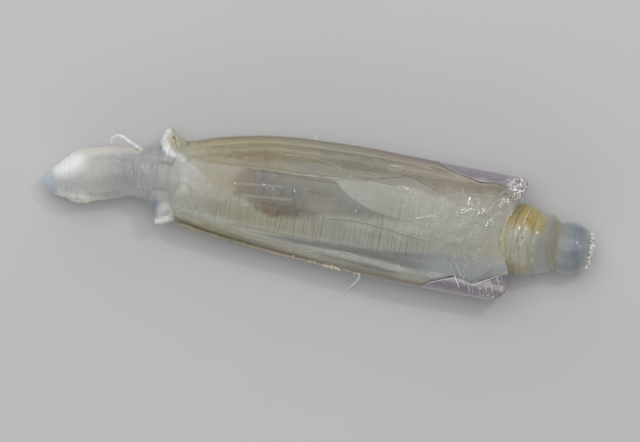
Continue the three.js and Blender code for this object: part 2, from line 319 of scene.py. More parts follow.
class Net:
    def __init__(self, tree):
        self.tree = tree

    def node(self, kind, **settings):
        made = self.tree.nodes.new(kind)
        for key, value in settings.items():
            setattr(made, key, value)
        return made

    def feed(self, socket, value):
        if isinstance(value, bpy.types.NodeSocket):
            self.tree.links.new(value, socket)
        elif value is not None:
            socket.default_value = value

    def math(self, operation, *values, clamp=False):
        made = self.node("ShaderNodeMath", operation=operation, use_clamp=clamp)
        for socket, value in zip(made.inputs, values):
            self.feed(socket, value)
        return made.outputs[0]

    def add(self, first, *others):
        for other in others:
            first = self.math("ADD", first, other)
        return first

    def minus(self, a, b):
        return self.math("SUBTRACT", a, b)

    def times(self, first, *others, clamp=False):
        for number, other in enumerate(others, 1):
            first = self.math("MULTIPLY", first, other, clamp=clamp and number == len(others))
        return first

    def most(self, a, b):
        return self.math("MAXIMUM", a, b)

    def least(self, a, b):
        return self.math("MINIMUM", a, b)

    def absolute(self, value):
        return self.math("ABSOLUTE", value)

    def step(self, value, low, high, to_low=0.0, to_high=1.0):
        """A smooth step from to_low at low to to_high at high."""
        feeds = {"Value": value, "From Min": low, "From Max": high, "To Min": to_low, "To Max": to_high}
        return self.put("ShaderNodeMapRange", feeds, interpolation_type="SMOOTHSTEP")["Result"]

    def blend(self, share, a, b):
        """A colour between a and b. Each is a node's colour, or red, green and blue on screen."""
        made = self.node("ShaderNodeMix", data_type="RGBA", clamp_factor=True)
        for socket, value in zip((made.inputs[0], made.inputs[6], made.inputs[7]), (share, a, b)):
            self.feed(socket, tint(*value) if isinstance(value, tuple) else value)
        return made.outputs[2]

    def between(self, value, low, high, first, second):
        """The first colour where value is low, and the second where it is high."""
        return self.blend(self.step(value, low, high), first, second)

    def paint(self, mask, shade, *strength):
        """Lays a shade over the colour so far, where the mask says."""
        self.colour = self.blend(self.times(mask, *strength), self.colour, shade)

    def noise(self, vector, scale, detail=3.0, rough=0.55, distortion=0.0):
        feeds = {"Vector": vector, "Scale": scale, "Detail": detail, "Roughness": rough,
                 "Distortion": distortion}
        return self.put("ShaderNodeTexNoise", feeds, noise_dimensions="3D")[0]

    def stretch(self, vector, x, y, z):
        made = self.node("ShaderNodeVectorMath", operation="MULTIPLY")
        self.feed(made.inputs[0], vector)
        made.inputs[1].default_value = (x, y, z)
        return made.outputs[0]

    def curve(self, value, points):
        """A smooth line through points, read at value. Masks are cut along such lines."""
        made = self.node("ShaderNodeFloatCurve")
        line = made.mapping.curves[0]
        places = [((a + CURVE_REACH) / (2 * CURVE_REACH), (b + CURVE_REACH) / (2 * CURVE_REACH)) for a,
                  b in points]
        line.points[0].location, line.points[-1].location = places[0], places[-1]
        for place in places[1:-1]:
            line.points.new(*place)
        made.mapping.update()
        share = self.times(self.add(value, CURVE_REACH), 0.5 / CURVE_REACH)
        self.feed(made.inputs["Value"], share)
        return self.add(self.times(made.outputs[0], 2 * CURVE_REACH), -CURVE_REACH)

    def scaled(self, vector, amount):
        return self.put("ShaderNodeVectorMath", {"Vector": vector, "Scale": amount}, operation="SCALE")[0]

    def put(self, kind, feeds, **settings):
        """Adds a node, feeds its sockets by name, and hands back its outputs."""
        made = self.node(kind, **settings)
        for key, value in feeds.items():
            self.feed(made.inputs[key], value)
        return made.outputs

    def number(self, name):
        """A number stored on the mesh."""
        return self.node("ShaderNodeAttribute", attribute_name=name).outputs["Fac"]

    def group(self, tree, **values):
        """Places a node group. Values are given by socket name, with _ for a space."""
        made = self.node("ShaderNodeGroup", node_tree=tree)
        for key, value in values.items():
            self.feed(made.inputs[key.replace("_", " ")], value)
        return made.outputs

    def bump(self, height, strength, distance):
        feeds = {"Height": height, "Strength": strength, "Distance": distance}
        return self.put("ShaderNodeBump", feeds)["Normal"]

    def set(self, **values):
        """Feeds the material's shader by socket name, with _ for a space."""
        for key, value in values.items():
            self.feed(self.shader.inputs[key.replace("_", " ")], value)

    def finish(self, *pieces, **values):
        """Feeds the shader the colour and more values, and gives the material to the pieces."""
        self.set(Base_Color=self.colour, **values)
        for piece in pieces:
            piece.data.materials.append(self.material)
        return self.material


def new_group(name, inputs, outputs, kind="ShaderNodeTree"):
    """An empty node group: inputs are (name, kind, default), outputs (name, kind)."""
    tree = bpy.data.node_groups.new(name, kind)
    for key, sort, default in inputs:
        socket = tree.interface.new_socket(key, in_out="INPUT", socket_type=sort)
        if default is not None:
            socket.default_value = default
    for key, sort in outputs:
        tree.interface.new_socket(key, in_out="OUTPUT", socket_type=sort)
    given, result = tree.nodes.new("NodeGroupInput"), tree.nodes.new("NodeGroupOutput")
    return tree, Net(tree), given.outputs, result.inputs


def new_material(name, **settings):
    """The net of a new material, with the values that are the same all over it set on its shader."""
    material = bpy.data.materials.new(name)
    material.use_nodes = True
    net = Net(material.node_tree)
    net.material, net.shader = material, material.node_tree.nodes["Principled BSDF"]
    net.set(**settings)
    return net


# %% [markdown]
# ## Three effects that many finishes share
#
# - *ruler* turns a piece's own coordinates into shell millimetres.
# - *spot* is a soft oval mask, which paints an organ that shows through the tissue.
# - *line* is a soft stroke between two places, for the edges of the organs.
#
# They are node groups, built once. Each puts out only numbers that change over the surface.

# %% Shared groups
FLOAT, VECTOR = "NodeSocketFloat", "NodeSocketVector"

RULER, net, given, result = new_group("ruler", [],
                                      [("Place", VECTOR), ("X", FLOAT), ("Y", FLOAT), ("Z", FLOAT)])
mapping = net.node("ShaderNodeMapping")
net.feed(mapping.inputs["Vector"], net.node("ShaderNodeTexCoord").outputs["Object"])
mapping.inputs["Scale"].default_value = (1 / MM, 1 / MM, 1 / MM)
mapping.inputs["Location"].default_value = tuple(-SHIFT)
split = net.node("ShaderNodeSeparateXYZ")
net.feed(split.inputs[0], mapping.outputs[0])
net.feed(result["Place"], mapping.outputs[0])
for axis in "XYZ":
    net.feed(result[axis], split.outputs[axis])


def floats(**defaults):
    """Number sockets for a group, with _ for a space."""
    return [(key.replace("_", " "), FLOAT, value) for key, value in defaults.items()]


SPOT, net, given, result = new_group(
    "spot", floats(X=0, Y=0, At_X=0, At_Y=0, Long=5, Wide=2, Turn=0, Soft=0.3), [("Mask", FLOAT)])
turn = net.math("RADIANS", given["Turn"])
cosine, sine = net.math("COSINE", turn), net.math("SINE", turn)
dx, dy = (net.minus(given[axis], given["At " + axis]) for axis in "XY")
along = net.add(net.times(dx, cosine), net.times(dy, sine))
over = net.minus(net.times(dy, cosine), net.times(dx, sine))
far = net.math("SQRT", net.add(net.math("POWER", net.math("DIVIDE", along, given["Long"]), 2.0),
                               net.math("POWER", net.math("DIVIDE", over, given["Wide"]), 2.0)))
inside, outside = (net.minus(1.0, given["Soft"]), net.add(given["Soft"], 1.0))
net.feed(result["Mask"], net.step(far, inside, outside, 1.0, 0.0))

LINE, net, given, result = new_group(
    "line", floats(X=0, Y=0, From_X=0, From_Y=0, To_X=5, To_Y=0, Wide=0.5, Soft=0.5), [("Mask", FLOAT)])
run_x, run_y = (net.minus(given["To " + axis], given["From " + axis]) for axis in "XY")
dx, dy = (net.minus(given[axis], given["From " + axis]) for axis in "XY")
whole = net.add(net.times(run_x, run_x), net.times(run_y, run_y))
share = net.math("DIVIDE", net.add(net.times(dx, run_x), net.times(dy, run_y)), whole, clamp=True)
off_x = net.minus(dx, net.times(run_x, share))
off_y = net.minus(dy, net.times(run_y, share))
far = net.math("SQRT", net.add(net.times(off_x, off_x), net.times(off_y, off_y)))
inner = net.times(given["Wide"], net.minus(1.0, given["Soft"]))
net.feed(result["Mask"], net.step(far, inner, given["Wide"], 1.0, 0.0))
print("groups:", [g.name for g in bpy.data.node_groups])


def dabs(net, mark, rows):
    """Paints a spot or a line for each row of its numbers, its shade and its strength."""
    for *numbers, shade, strength in rows:
        net.paint(mark(*numbers), shade, strength)


def marks(net, x, y):
    """Two shorthands that place spot and line groups at x and y."""
    def spot(at_x, at_y, long, wide, turn=0.0, soft=0.3):
        return net.group(SPOT, X=x, Y=y, At_X=at_x, At_Y=at_y, Long=long, Wide=wide, Turn=turn, Soft=soft)[0]

    def line(from_x, from_y, to_x, to_y, wide=0.5, soft=0.6):
        return net.group(LINE, X=x, Y=y, From_X=from_x, From_Y=from_y, To_X=to_x, To_Y=to_y, Wide=wide,
                         Soft=soft)[0]

    return spot, line


def warped_place(net, amount=0.5, scale=0.35):
    """Place in shell millimetres, and x and y pushed about by noise, so that marks get organic edges."""
    place, x, y, z = net.group(RULER)[:4]
    push = net.times(net.add(net.noise(place, scale), -0.5), 2 * amount)
    push_more = net.times(net.add(net.noise(place, scale * 3.1), -0.5), amount)
    wobble = net.add(push, push_more)
    return place, net.add(x, wobble), net.add(y, wobble), (x, y, z)


# %% [markdown]
# ## The floor
#
# A large plane with a pale, faintly mottled finish. It is marked as stage, so it isn't part of the clam.

# %% Floor
net = new_material("floor_paint", Roughness=0.9, Specular_IOR_Level=0.1)
place = net.group(RULER)[0]
net.colour = net.blend(net.noise(place, 0.02), (196, 196, 197), (200, 200, 200))
floor_paint = net.finish()
floor_mesh = bpy.data.meshes.new("floor")
reach = 3.0
floor_mesh.from_pydata([(-reach, -reach, 0), (reach, -reach, 0), (reach, reach, 0), (-reach, reach, 0)], [],
                       [(0, 1, 2, 3)])
floor_mesh.materials.append(floor_paint)
floor = bpy.data.objects.new("floor", floor_mesh)
floor.location.z = cad_low.z - 0.00002
scene.collection.objects.link(floor)
floor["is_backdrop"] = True
print("floor at", round(floor.location.z / MM, 3), "mm")

# %% [markdown]
# ## The form of the shell
#
# A razor clam's valve is a shallow trough. It has four margins, belly (ventral), hinge (dorsal), front
# and rear, and each cross section is a flattened arch. So we blend the four margins into a grid, and
# lift every grid point by the arch. Each growth line was the margin once, so they follow a number that
# grows from 0 at the beak, on the hinge line, to 1 at the margin.

# %% Shell outlines
ARCH = 2.5   # exponent of the cross section: 2 is an ellipse, more is boxier
RIM = 0.05   # half the slit between the closed valves
FILM = 0.22  # thickness of a valve
BEAK = -13.0

ventral = profile([(-33, 5.9), (-30, 6.9), (-22, 9.15), (-13, 10.65), (0, 11.2), (12, 11), (27, 10.75),
                   (31, 10.6)])
dorsal = profile([
    (-33, -6.2), (-29.6, -7.05), (-24, -8.05), (-20, -8.55), (-14, -9.25), (-8.5, -9.75), (-1, -10.4),
    (6, -11), (14, -11.3), (24.5, -11.45), (31, -11.4)])
front_margin = outline([(-29.6, -7.05), (-31.6, -4.4), (-32.5, -0.5), (-31.9, 3.8), (-30, 6.9)])
rear_margin = outline([
    (27.3, -11.42), (28.5, -10.8), (29.3, -9.6), (29.6, -7.8), (29.5, -6.3), (30, -3), (30.1, 3), (29.9, 5.8),
    (29.8, 6.9), (29.3, 7.7), (29.8, 8.4), (30.15, 9.2), (30.05, 10.1), (29.6, 10.66)])
swell = profile([(-33, 0.84), (-22, 0.93), (-8, 1), (14, 1), (31, 0.915)])


def across(x, y):
    """-1 at the dorsal margin and 1 at the ventral one."""
    top, bottom = ventral(x), dorsal(x)
    return np.clip((2 * y - top - bottom) / (top - bottom), -1, 1)


def arch_height(x, w, inset=0.0):
    """Height above the meeting plane of a valve, or of a surface set inwards from it by inset."""
    arch = np.sqrt(np.clip(1 - np.abs(w) ** ARCH, 0, 1))
    return (swell(x) * (CROWN - RIM) - inset) * arch + RIM


def growth(x, y):
    """0 at the beak and 1 at the margin."""
    reach = np.where(x > BEAK, (x - BEAK) / (REARMOST - BEAK), (BEAK - x) / (BEAK + 32.5))
    rise = (y - dorsal(x)) / (ventral(x) - dorsal(x))
    return (np.abs(reach) ** 4 + np.abs(rise) ** 4) ** 0.25


def facing(grid):
    """Unit normals of a grid of points."""
    normal = np.cross(np.gradient(grid, axis=0), np.gradient(grid, axis=1))
    return normal / np.maximum(np.linalg.norm(normal, axis=-1, keepdims=True), 1e-9)


def outward(rings):
    """Unit normals of rings, which point away from their middles."""
    normal = facing(rings)
    middle = rings.mean(axis=1, keepdims=True)
    return normal * np.sign((normal * (rings - middle)).sum(-1).mean())


def margin_grid(rows, columns):
    """Places over the shell, blended from its four margins. Columns crowd towards the steep flanks."""
    u = np.linspace(0, 1, rows)[:, None]
    v = ((1 - np.cos(np.linspace(0, np.pi, columns))) / 2)[None, :]
    front, rear = front_margin(v[0]), rear_margin(v[0])
    low_x, high_x = mix(-29.6, 27.3, u), mix(-30, 29.6, u)
    low = np.stack([low_x, dorsal(low_x)], -1)
    high = np.stack([high_x, ventral(high_x)], -1)
    u, v = u[..., None], v[..., None]
    corners = mix(mix(front[0], rear[0], u), mix(front[-1], rear[-1], u), v)
    place = mix(low, high, v) + mix(front[None], rear[None], u) - corners
    return place[..., 0], place[..., 1], u[..., 0], v[..., 0]


# %% [markdown]
# ## Letting Geometry Nodes grow the fine things
#
# Gill filaments, skin folds, papillae and crumbs repeat, or follow a surface, which is what Geometry
# Nodes are for. Each tree starts from a bare *guide* mesh, of loose points or lines that carry their own
# numbers, so one tree serves many pieces. `grow` runs a tree on a guide and keeps the result as a mesh.


# %% Guides
def guide(lines, aims, closed=False, **numbers):
    """Polylines in shell millimetres. Each has an aim, and numbers for all of it or for its points."""
    mesh = bpy.data.meshes.new("guide")
    starts = np.cumsum([0] + [len(line) for line in lines]).tolist()
    edges = [(i, i + 1) for a, b in zip(starts, starts[1:]) for i in range(a, b - 1)]
    if closed:
        edges += [(b - 1, a) for a, b in zip(starts, starts[1:])]
    mesh.from_pydata(metres(np.vstack(lines)).tolist(), edges, [])
    layer = mesh.attributes.new("aim", "FLOAT_VECTOR", "POINT")
    aims = [np.broadcast_to(aim, np.shape(line)) for aim, line in zip(aims, lines)]
    layer.data.foreach_set("vector", np.vstack(aims).ravel())
    for key, values in numbers.items():
        layer = mesh.attributes.new(key, "FLOAT", "POINT")
        spread = [np.broadcast_to(value, len(line)) for value, line in zip(values, lines)]
        layer.data.foreach_set("value", np.concatenate(spread).astype(float))
    return mesh


def grow(name, tree, mesh, **sizes):
    """Runs a tree on a guide and returns what grew as a plain piece."""
    maker = bpy.data.objects.new(name + "_maker", mesh)
    scene.collection.objects.link(maker)
    modifier = maker.modifiers.new("grow", "NODES")
    modifier.node_group = tree
    identifiers = {socket.name: socket.identifier for socket in tree.interface.items_tree
                   if socket.in_out == "INPUT"}
    for key, value in sizes.items():
        modifier[identifiers[key]] = value
    graph = bpy.context.evaluated_depsgraph_get()
    grown = bpy.data.meshes.new_from_object(
        maker.evaluated_get(graph), preserve_all_data_layers=True, depsgraph=graph)
    maker.modifiers.clear()
    bpy.data.objects.remove(maker)
    bpy.data.meshes.remove(mesh)
    grown.name = name
    piece = bpy.data.objects.new(name, grown)
    scene.collection.objects.link(piece)
    print(f"{name}: {len(grown.vertices)} points, {len(grown.polygons)} faces")
    return piece


# %% [markdown]
# The first tree makes *strands*. It resamples each guide line, lets it wander a little, casts every
# point along its aim onto a surface, and sweeps a round section along the line where it landed.
# It also stores how far along the strand each point is, so that a finish can fade the ends out.

# %% Strand tree
GEOMETRY, OBJECT, MATERIAL, INTEGER = ("NodeSocketGeometry", "NodeSocketObject", "NodeSocketMaterial",
                                       "NodeSocketInt")


def named(net, key, sort="FLOAT"):
    """A number or vector that the guide carries."""
    return net.put("GeometryNodeInputNamedAttribute", {"Name": key}, data_type=sort)[0]


def wander(net, scale, amount):
    """A small vector that changes smoothly from place to place."""
    made = net.put("ShaderNodeTexNoise",
                   {"Vector": net.put("GeometryNodeInputPosition", {})[0], "Scale": scale,
                                          "Detail": 2.0})
    centred = net.put("ShaderNodeVectorMath", {}, operation="SUBTRACT")
    holder = centred[0].node
    net.feed(holder.inputs[0], made["Color"])
    holder.inputs[1].default_value = (0.5, 0.5, 0.5)
    return net.scaled(centred[0], amount)


def land(net, geometry, surface, aim):
    """Drops the points whose ray misses the surface. Returns what is left, and the ray's results."""
    target = net.put("GeometryNodeObjectInfo", {"Object": surface})["Geometry"]
    ray = net.put("GeometryNodeRaycast", {"Target Geometry": target, "Ray Direction": aim, "Ray Length": 0.1})
    missed = net.put("FunctionNodeBooleanMath", {"Boolean": ray["Is Hit"]}, operation="NOT")[0]
    kept = net.put("GeometryNodeDeleteGeometry", {"Geometry": geometry, "Selection": missed},
                   domain="POINT")[0]
    return kept, ray


def put_out(net, geometry):
    """Ends a tree: makes instances real and gives the mesh its material."""
    real = net.put("GeometryNodeRealizeInstances", {"Geometry": geometry})[0]
    feeds = {"Geometry": real, "Material": given["Material"]}
    net.feed(result["Mesh"], net.put("GeometryNodeSetMaterial", feeds)[0])


STRAND, net, given, result = new_group(
    "strand",
    [("Guide", GEOMETRY, None), ("Surface", OBJECT, None), ("Spacing", FLOAT, 0.0003),
     ("Waver", FLOAT, 0.0001), ("Grain", FLOAT, 400.0), ("Lift", FLOAT, 0.0), ("Sides", INTEGER, 6),
     ("Material", MATERIAL, None)],
    [("Mesh", GEOMETRY)], "GeometryNodeTree")
curve = net.put("GeometryNodeMeshToCurve", {"Mesh": given["Guide"]})[0]
curve = net.put("GeometryNodeResampleCurve", {"Curve": curve, "Length": given["Spacing"]}, mode="LENGTH")[0]
drift = wander(net, given["Grain"], given["Waver"])
curve = net.put("GeometryNodeSetPosition", {"Geometry": curve, "Offset": drift})[0]
curve, ray = land(net, curve, given["Surface"], named(net, "aim", "FLOAT_VECTOR"))
lift = net.scaled(ray["Hit Normal"], given["Lift"])
landed = net.put("GeometryNodeSetPosition",
                 {"Geometry": curve, "Position": ray["Hit Position"], "Offset": lift})[0]
share = net.put("GeometryNodeSplineParameter", {})["Factor"]
landed = net.put("GeometryNodeStoreNamedAttribute", {"Geometry": landed, "Name": "along", "Value": share},
                 data_type="FLOAT", domain="POINT")[0]
section = net.put("GeometryNodeCurvePrimitiveCircle", {"Resolution": given["Sides"], "Radius": 1.0})[0]
feeds = {"Curve": landed, "Profile Curve": section, "Scale": named(net, "thick"), "Fill Caps": True}
swept = net.put("GeometryNodeCurveToMesh", feeds)[0]
smooth = net.put("GeometryNodeSetShadeSmooth", {"Geometry": swept})[0]
put_out(net, smooth)
print("strand tree:", len(STRAND.nodes), "nodes")

# %% [markdown]
# The second tree *scatters* a small shape over a surface, one on each guide point. The shape stands
# along the surface's normal, turned and sized by the guide's own numbers. Tumble adds chance turns.

# %% Scatter tree
SCATTER, net, given, result = new_group(
    "scatter",
    [("Guide", GEOMETRY, None), ("Surface", OBJECT, None), ("Shape", OBJECT, None),
     ("Stretch", VECTOR, (1.0, 1.0, 1.0)), ("Tumble", FLOAT, 0.0), ("Uneven", FLOAT, 0.4),
     ("Seed", INTEGER, 1), ("Material", MATERIAL, None)],
    [("Mesh", GEOMETRY)], "GeometryNodeTree")
points, ray = land(net, given["Guide"], given["Surface"], named(net, "aim", "FLOAT_VECTOR"))
points = net.put("GeometryNodeStoreNamedAttribute",
                 {"Geometry": points, "Name": "up", "Value": ray["Hit Normal"]},
                 data_type="FLOAT_VECTOR", domain="POINT")[0]
points = net.put("GeometryNodeSetPosition", {"Geometry": points, "Position": ray["Hit Position"]})[0]
turn = net.put("FunctionNodeAxisAngleToRotation", {"Angle": named(net, "turn")})[0]
stand = net.put("FunctionNodeAlignRotationToVector",
                {"Rotation": turn, "Vector": named(net, "up", "FLOAT_VECTOR")}, axis="Z")[0]
chance = net.node("FunctionNodeRandomValue", data_type="FLOAT_VECTOR")
chance.inputs[0].default_value, chance.inputs[1].default_value = (-3.1, -3.1, -3.1), (3.1, 3.1, 3.1)
net.feed(chance.inputs["Seed"], given["Seed"])
tumble = net.scaled(chance.outputs[0], given["Tumble"])
stand = net.put("FunctionNodeRotateRotation", {"Rotation": stand, "Rotate By": tumble},
                rotation_space="LOCAL")[0]
uneven = net.node("FunctionNodeRandomValue", data_type="FLOAT_VECTOR")
for socket, value in ((0, net.minus(1, given["Uneven"])), (1, net.add(given["Uneven"], 1))):
    net.feed(uneven.inputs[socket], net.put("ShaderNodeCombineXYZ", {"X": value, "Y": value, "Z": value})[0])
net.feed(uneven.inputs["Seed"], net.math("ADD", given["Seed"], 7.0))
size = net.scaled(given["Stretch"], named(net, "size"))
scaled = net.node("ShaderNodeVectorMath", operation="MULTIPLY")
net.feed(scaled.inputs[0], size)
net.feed(scaled.inputs[1], uneven.outputs[0])
shape = net.put("GeometryNodeObjectInfo", {"Object": given["Shape"]})["Geometry"]
placed = net.put("GeometryNodeInstanceOnPoints",
                 {"Points": points, "Instance": shape, "Rotation": stand, "Scale": scaled.outputs[0]})[0]
put_out(net, placed)
print("scatter tree:", len(SCATTER.nodes), "nodes")


# %% [markdown]
# Lines and points over the body are drawn in the ruler's own x and y, and held well clear of it,
# either above or below, so that the ray meets the side that is meant.


# %% Held lines and points
def held(places, side):
    """Places (x, y) lifted off the clam, above it (side 1) or below (-1)."""
    places = np.asarray(places, float)
    return np.column_stack([places, np.full(len(places), MEETING + 9.0 * side)])


def side_guide(lines, side, **numbers):
    """A guide of lines or points over one side of the clam, aimed straight at it."""
    return guide([held(line, side) for line in lines], [(0.0, 0.0, -side)] * len(lines), **numbers)


SIDES = (("right", 1), ("left", -1))


def strewn(seed, count, at_x, at_y, long, wide, turn=0.0):
    """Chance places in a soft oval."""
    random = np.random.default_rng(seed)
    reach, round_ = np.sqrt(random.uniform(0, 1, count)), random.uniform(0, 2 * np.pi, count)
    u, v = long * reach * np.cos(round_), wide * reach * np.sin(round_)
    c, s = math.cos(math.radians(turn)), math.sin(math.radians(turn))
    return np.column_stack([at_x + u * c - v * s, at_y + u * s + v * c])


def small_shape(kind):
    """A grain of 20 faces, or a cone of 12, one metre in size, for the scatter tree."""
    made = bmesh.new()
    if kind == "grain":
        bmesh.ops.create_icosphere(made, subdivisions=1, radius=1.0)
    else:
        bmesh.ops.create_cone(made, cap_ends=True, segments=6, radius1=0.3, radius2=0.06, depth=1.0)
        bmesh.ops.translate(made, verts=made.verts, vec=(0, 0, 0.42))
    mesh = bpy.data.meshes.new(kind)
    made.to_mesh(mesh)
    made.free()
    shape = bpy.data.objects.new(kind, mesh)
    scene.collection.objects.link(shape)
    return shape


GRAIN, CONE = small_shape("grain"), small_shape("cone")

# %% [markdown]
# ## The valves
#
# Fine growth ridges are real relief here, because they catch the light on a wet surface. The belly's rear
# corner is crumpled. The finish will read three numbers that we store on the points: the growth number
# and the distances to the two long margins.

# %% Valves
ROWS, COLUMNS = 300, 110


def build_valve(name, side, seed):
    x, y, u, v = margin_grid(ROWS, COLUMNS)
    rough_edge = np.broadcast_to(u, x.shape) ** 30
    x = x + rough_edge * (0.1 * ripple(y * 2.3, seed) + 0.06 * ripple(y * 7, seed + 1))
    w = across(x, y)
    w[:, 0], w[:, -1] = -1, 1
    age = growth(x, y)
    crumple = np.clip(1 - np.hypot((x - 29.0) / 2.9, (y - 8.9) / 2.4), 0, 1)
    corner = np.clip(1 - np.hypot((x - 26.5) / 6, (y + 9.8) / 2.6), 0, 1)

    def side_at(inset):
        middle, half = (ventral(x) + dorsal(x)) / 2, (ventral(x) - dorsal(x)) / 2
        height = arch_height(x, w, inset)
        return np.stack([x, middle + w * (half - inset), MEETING + side * height], -1)

    outer, inner = side_at(0.0), side_at(FILM)
    normal = facing(outer)
    normal *= np.sign((normal[..., 2] * side).mean())
    ridges = 0.022 * ripple(age * 60, seed + 2) + 0.014 * ripple(age * 170, seed + 3)
    folds = np.abs(lumps(np.stack([x, y * 1.3, 0 * x], -1), 1.1, seed, 3))
    streaks = ripple((x + 0.5 * y) * 2.2, seed + 4) * corner
    relief = ridges - 0.75 * crumple * folds - 0.12 * streaks
    relief *= ease(0, 0.03, v) * ease(0, 0.03, 1 - v)
    relief = np.minimum(relief, 0.035)
    outer, inner = outer + normal * relief[..., None], inner + normal * relief[..., None]
    outer[..., 2] = np.maximum(outer[..., 2], 0.0)
    inner[..., 2] = np.maximum(inner[..., 2], FILM * 0.5)
    values = {"growth": age, "belly": ventral(x) - y, "hinge": y - dorsal(x)}
    return leaf(name, outer, inner, values)


right_valve = build_valve("right_valve_film", 1, 11)
left_valve = build_valve("left_valve_film", -1, 31)

# %% [markdown]
# ## The look of the valves
#
# The valves are see-through by the shader's Alpha: clear over the body, denser where growth lines crowd,
# along the margins, and at grazing angles, where Fresnel makes any film look solid. The colour goes from
# straw at the front to pink and plum at the rear. Two contours say where the body has shrunk away from
# the rear corners, because there the bare film shows its plum colour.

# %% Bare corners
BELLY_SHRUNK = [(17.5, 9.45), (20, 9.05), (22, 8.65), (24.5, 8.95), (26, 8.8), (27.2, 8.1)]
HINGE_SHRUNK = [(16, -10.3), (18, -9.4), (20, -8.7), (22, -9.1), (23.2, -9.5), (24.2, -9), (26, -8),
                (27.5, -7.1)]
BELLY_CLEAR = [(-50, 14), (13.5, 11.2), (15, 10.35), *BELLY_SHRUNK, (28.6, 7.5), (29.6, 7.2), (32, 7)]
HINGE_CLEAR = [(-50, -14), (14.8, -11.2), *HINGE_SHRUNK, (29.4, -6.4), (32, -6)]

# %% Valve finish
net = new_material("valve_film", Roughness=0.13, IOR=1.53, Specular_IOR_Level=0.9, Coat_Roughness=0.05)
place, x, y, (true_x, true_y, _) = warped_place(net, 0.3, 0.5)
spot, _ = marks(net, x, y)
age, belly, hinge = net.number("growth"), net.number("belly"), net.number("hinge")
rings = net.put("ShaderNodeTexNoise", {"W": net.times(age, 95.0), "Detail": 2.5}, noise_dimensions="1D")[0]
rear = net.step(x, -12, 14)
net.colour = net.between(x, -30, 4, (196, 184, 140), (186, 184, 168))
edge = net.times(net.step(belly, 1.3, 0.25), rear)
net.paint(edge, (172, 146, 152), 0.9)
back_edge = net.times(net.step(hinge, 0.8, 0.1), rear)
net.paint(back_edge, (190, 158, 146), 0.9)
bare_top = net.step(net.minus(y, net.curve(x, BELLY_CLEAR)), -0.12, 0.12)
bare_bottom = net.step(net.minus(y, net.curve(x, HINGE_CLEAR)), 0.12, -0.12)
bare = net.most(bare_top, bare_bottom)
plum = net.between(net.noise(place, 0.5), 0.4, 0.6, (84, 70, 108), (108, 84, 112))
net.paint(bare, plum, 0.9)
silver = spot(28.8, 8.9, 1.9, 2, 0, 0.5)
crackle = net.step(net.noise(place, 1.9, 4, 0.7), 0.48, 0.6)
net.paint(net.times(silver, crackle), (228, 230, 224))
rim = net.step(net.least(belly, hinge), 0.3, 0)
net.paint(rim, (206, 192, 176), 0.7)
net.paint(rings, (226, 222, 206), 0.3)
clear_front = net.step(true_x, -31.5, -24)
clear_rear = net.step(net.absolute(true_y), 5, 7.5)
clear_rear = net.most(clear_rear, net.step(true_x, 29.5, 26))
film = net.add(0.05, net.times(net.step(rings, 0.4, 0.75), 0.08), net.times(net.most(edge, back_edge), 0.22),
               net.times(bare, 0.8), net.times(rim, 0.25), net.times(silver, crackle, 0.5),
               net.times(net.put("ShaderNodeFresnel", {"IOR": 1.35})[0], 0.5))
film = net.times(film, net.add(0.1, net.times(clear_front, 0.9)), clear_rear, clamp=True)
crinkle = net.noise(net.stretch(place, 0.5, 1.4, 1), 1, 4, 0.6)
slanted = net.put("ShaderNodeVectorRotate", {"Vector": place, "Angle": -0.62}, rotation_type="Z_AXIS")[0]
creases = net.noise(net.stretch(slanted, 0.35, 2.4, 0.6), 1, 4, 0.6)
slack = spot(23.5, 3.8, 7.5, 4.2, 25, 0.5)
net.finish(right_valve, left_valve, Alpha=film, Coat_Weight=net.step(rings, 0.2, 0.6, 0.7, 1),
           Normal=net.bump(net.add(crinkle, net.times(creases, slack, 2.5)), 0.3, 0.0004))

# %% [markdown]
# ## The soft body in the shell
#
# The body sac fills the valves almost to their margins, but has shrunk back from both rear corners. Its
# rings follow the shell's arch, set in by a hair, and narrow behind to the base of the siphon.

# %% Body sac
SNUG = 0.45  # from the outside of a valve to the body
SAC_FRONT, SAC_REAR = -33.8, 28.3
sac_top = profile([
    (-33.8, 4), (-32.6, 5.1), (-31, 6.15), (-29, 6.9), (-26.5, 7.65), (-22, 8.85), (-17.5, 9.8), (-13, 10.3),
    (-8.5, 10.65), (0, 10.85), (10, 10.65), (14, 10.5), (16, 9.95), *BELLY_SHRUNK, (28.4, 7)])
sac_bottom = profile([
    (-33.8, -4.2), (-32.6, -5.4), (-31, -6.5), (-29, -6.95), (-24, -7.8), (-20, -8.25), (-12.5, -9),
                      (-8, -9.45),
    (0, -10.1), (8, -10.7), (14, -10.9), *HINGE_SHRUNK, (28.4, -6.5)])
sac_depth = profile([
    (-33.8, 0.72), (-33, 0.755), (-32, 0.778), (-31, 0.8), (-29.5, 0.84), (-27.5, 0.89), (-25, 0.95),
                     (-21, 1),
    (-15, 1), (-5, 1), (5, 1), (12, 1), (18, 1), (21, 0.975), (24, 0.89), (27, 0.755), (28.4, 0.7)])


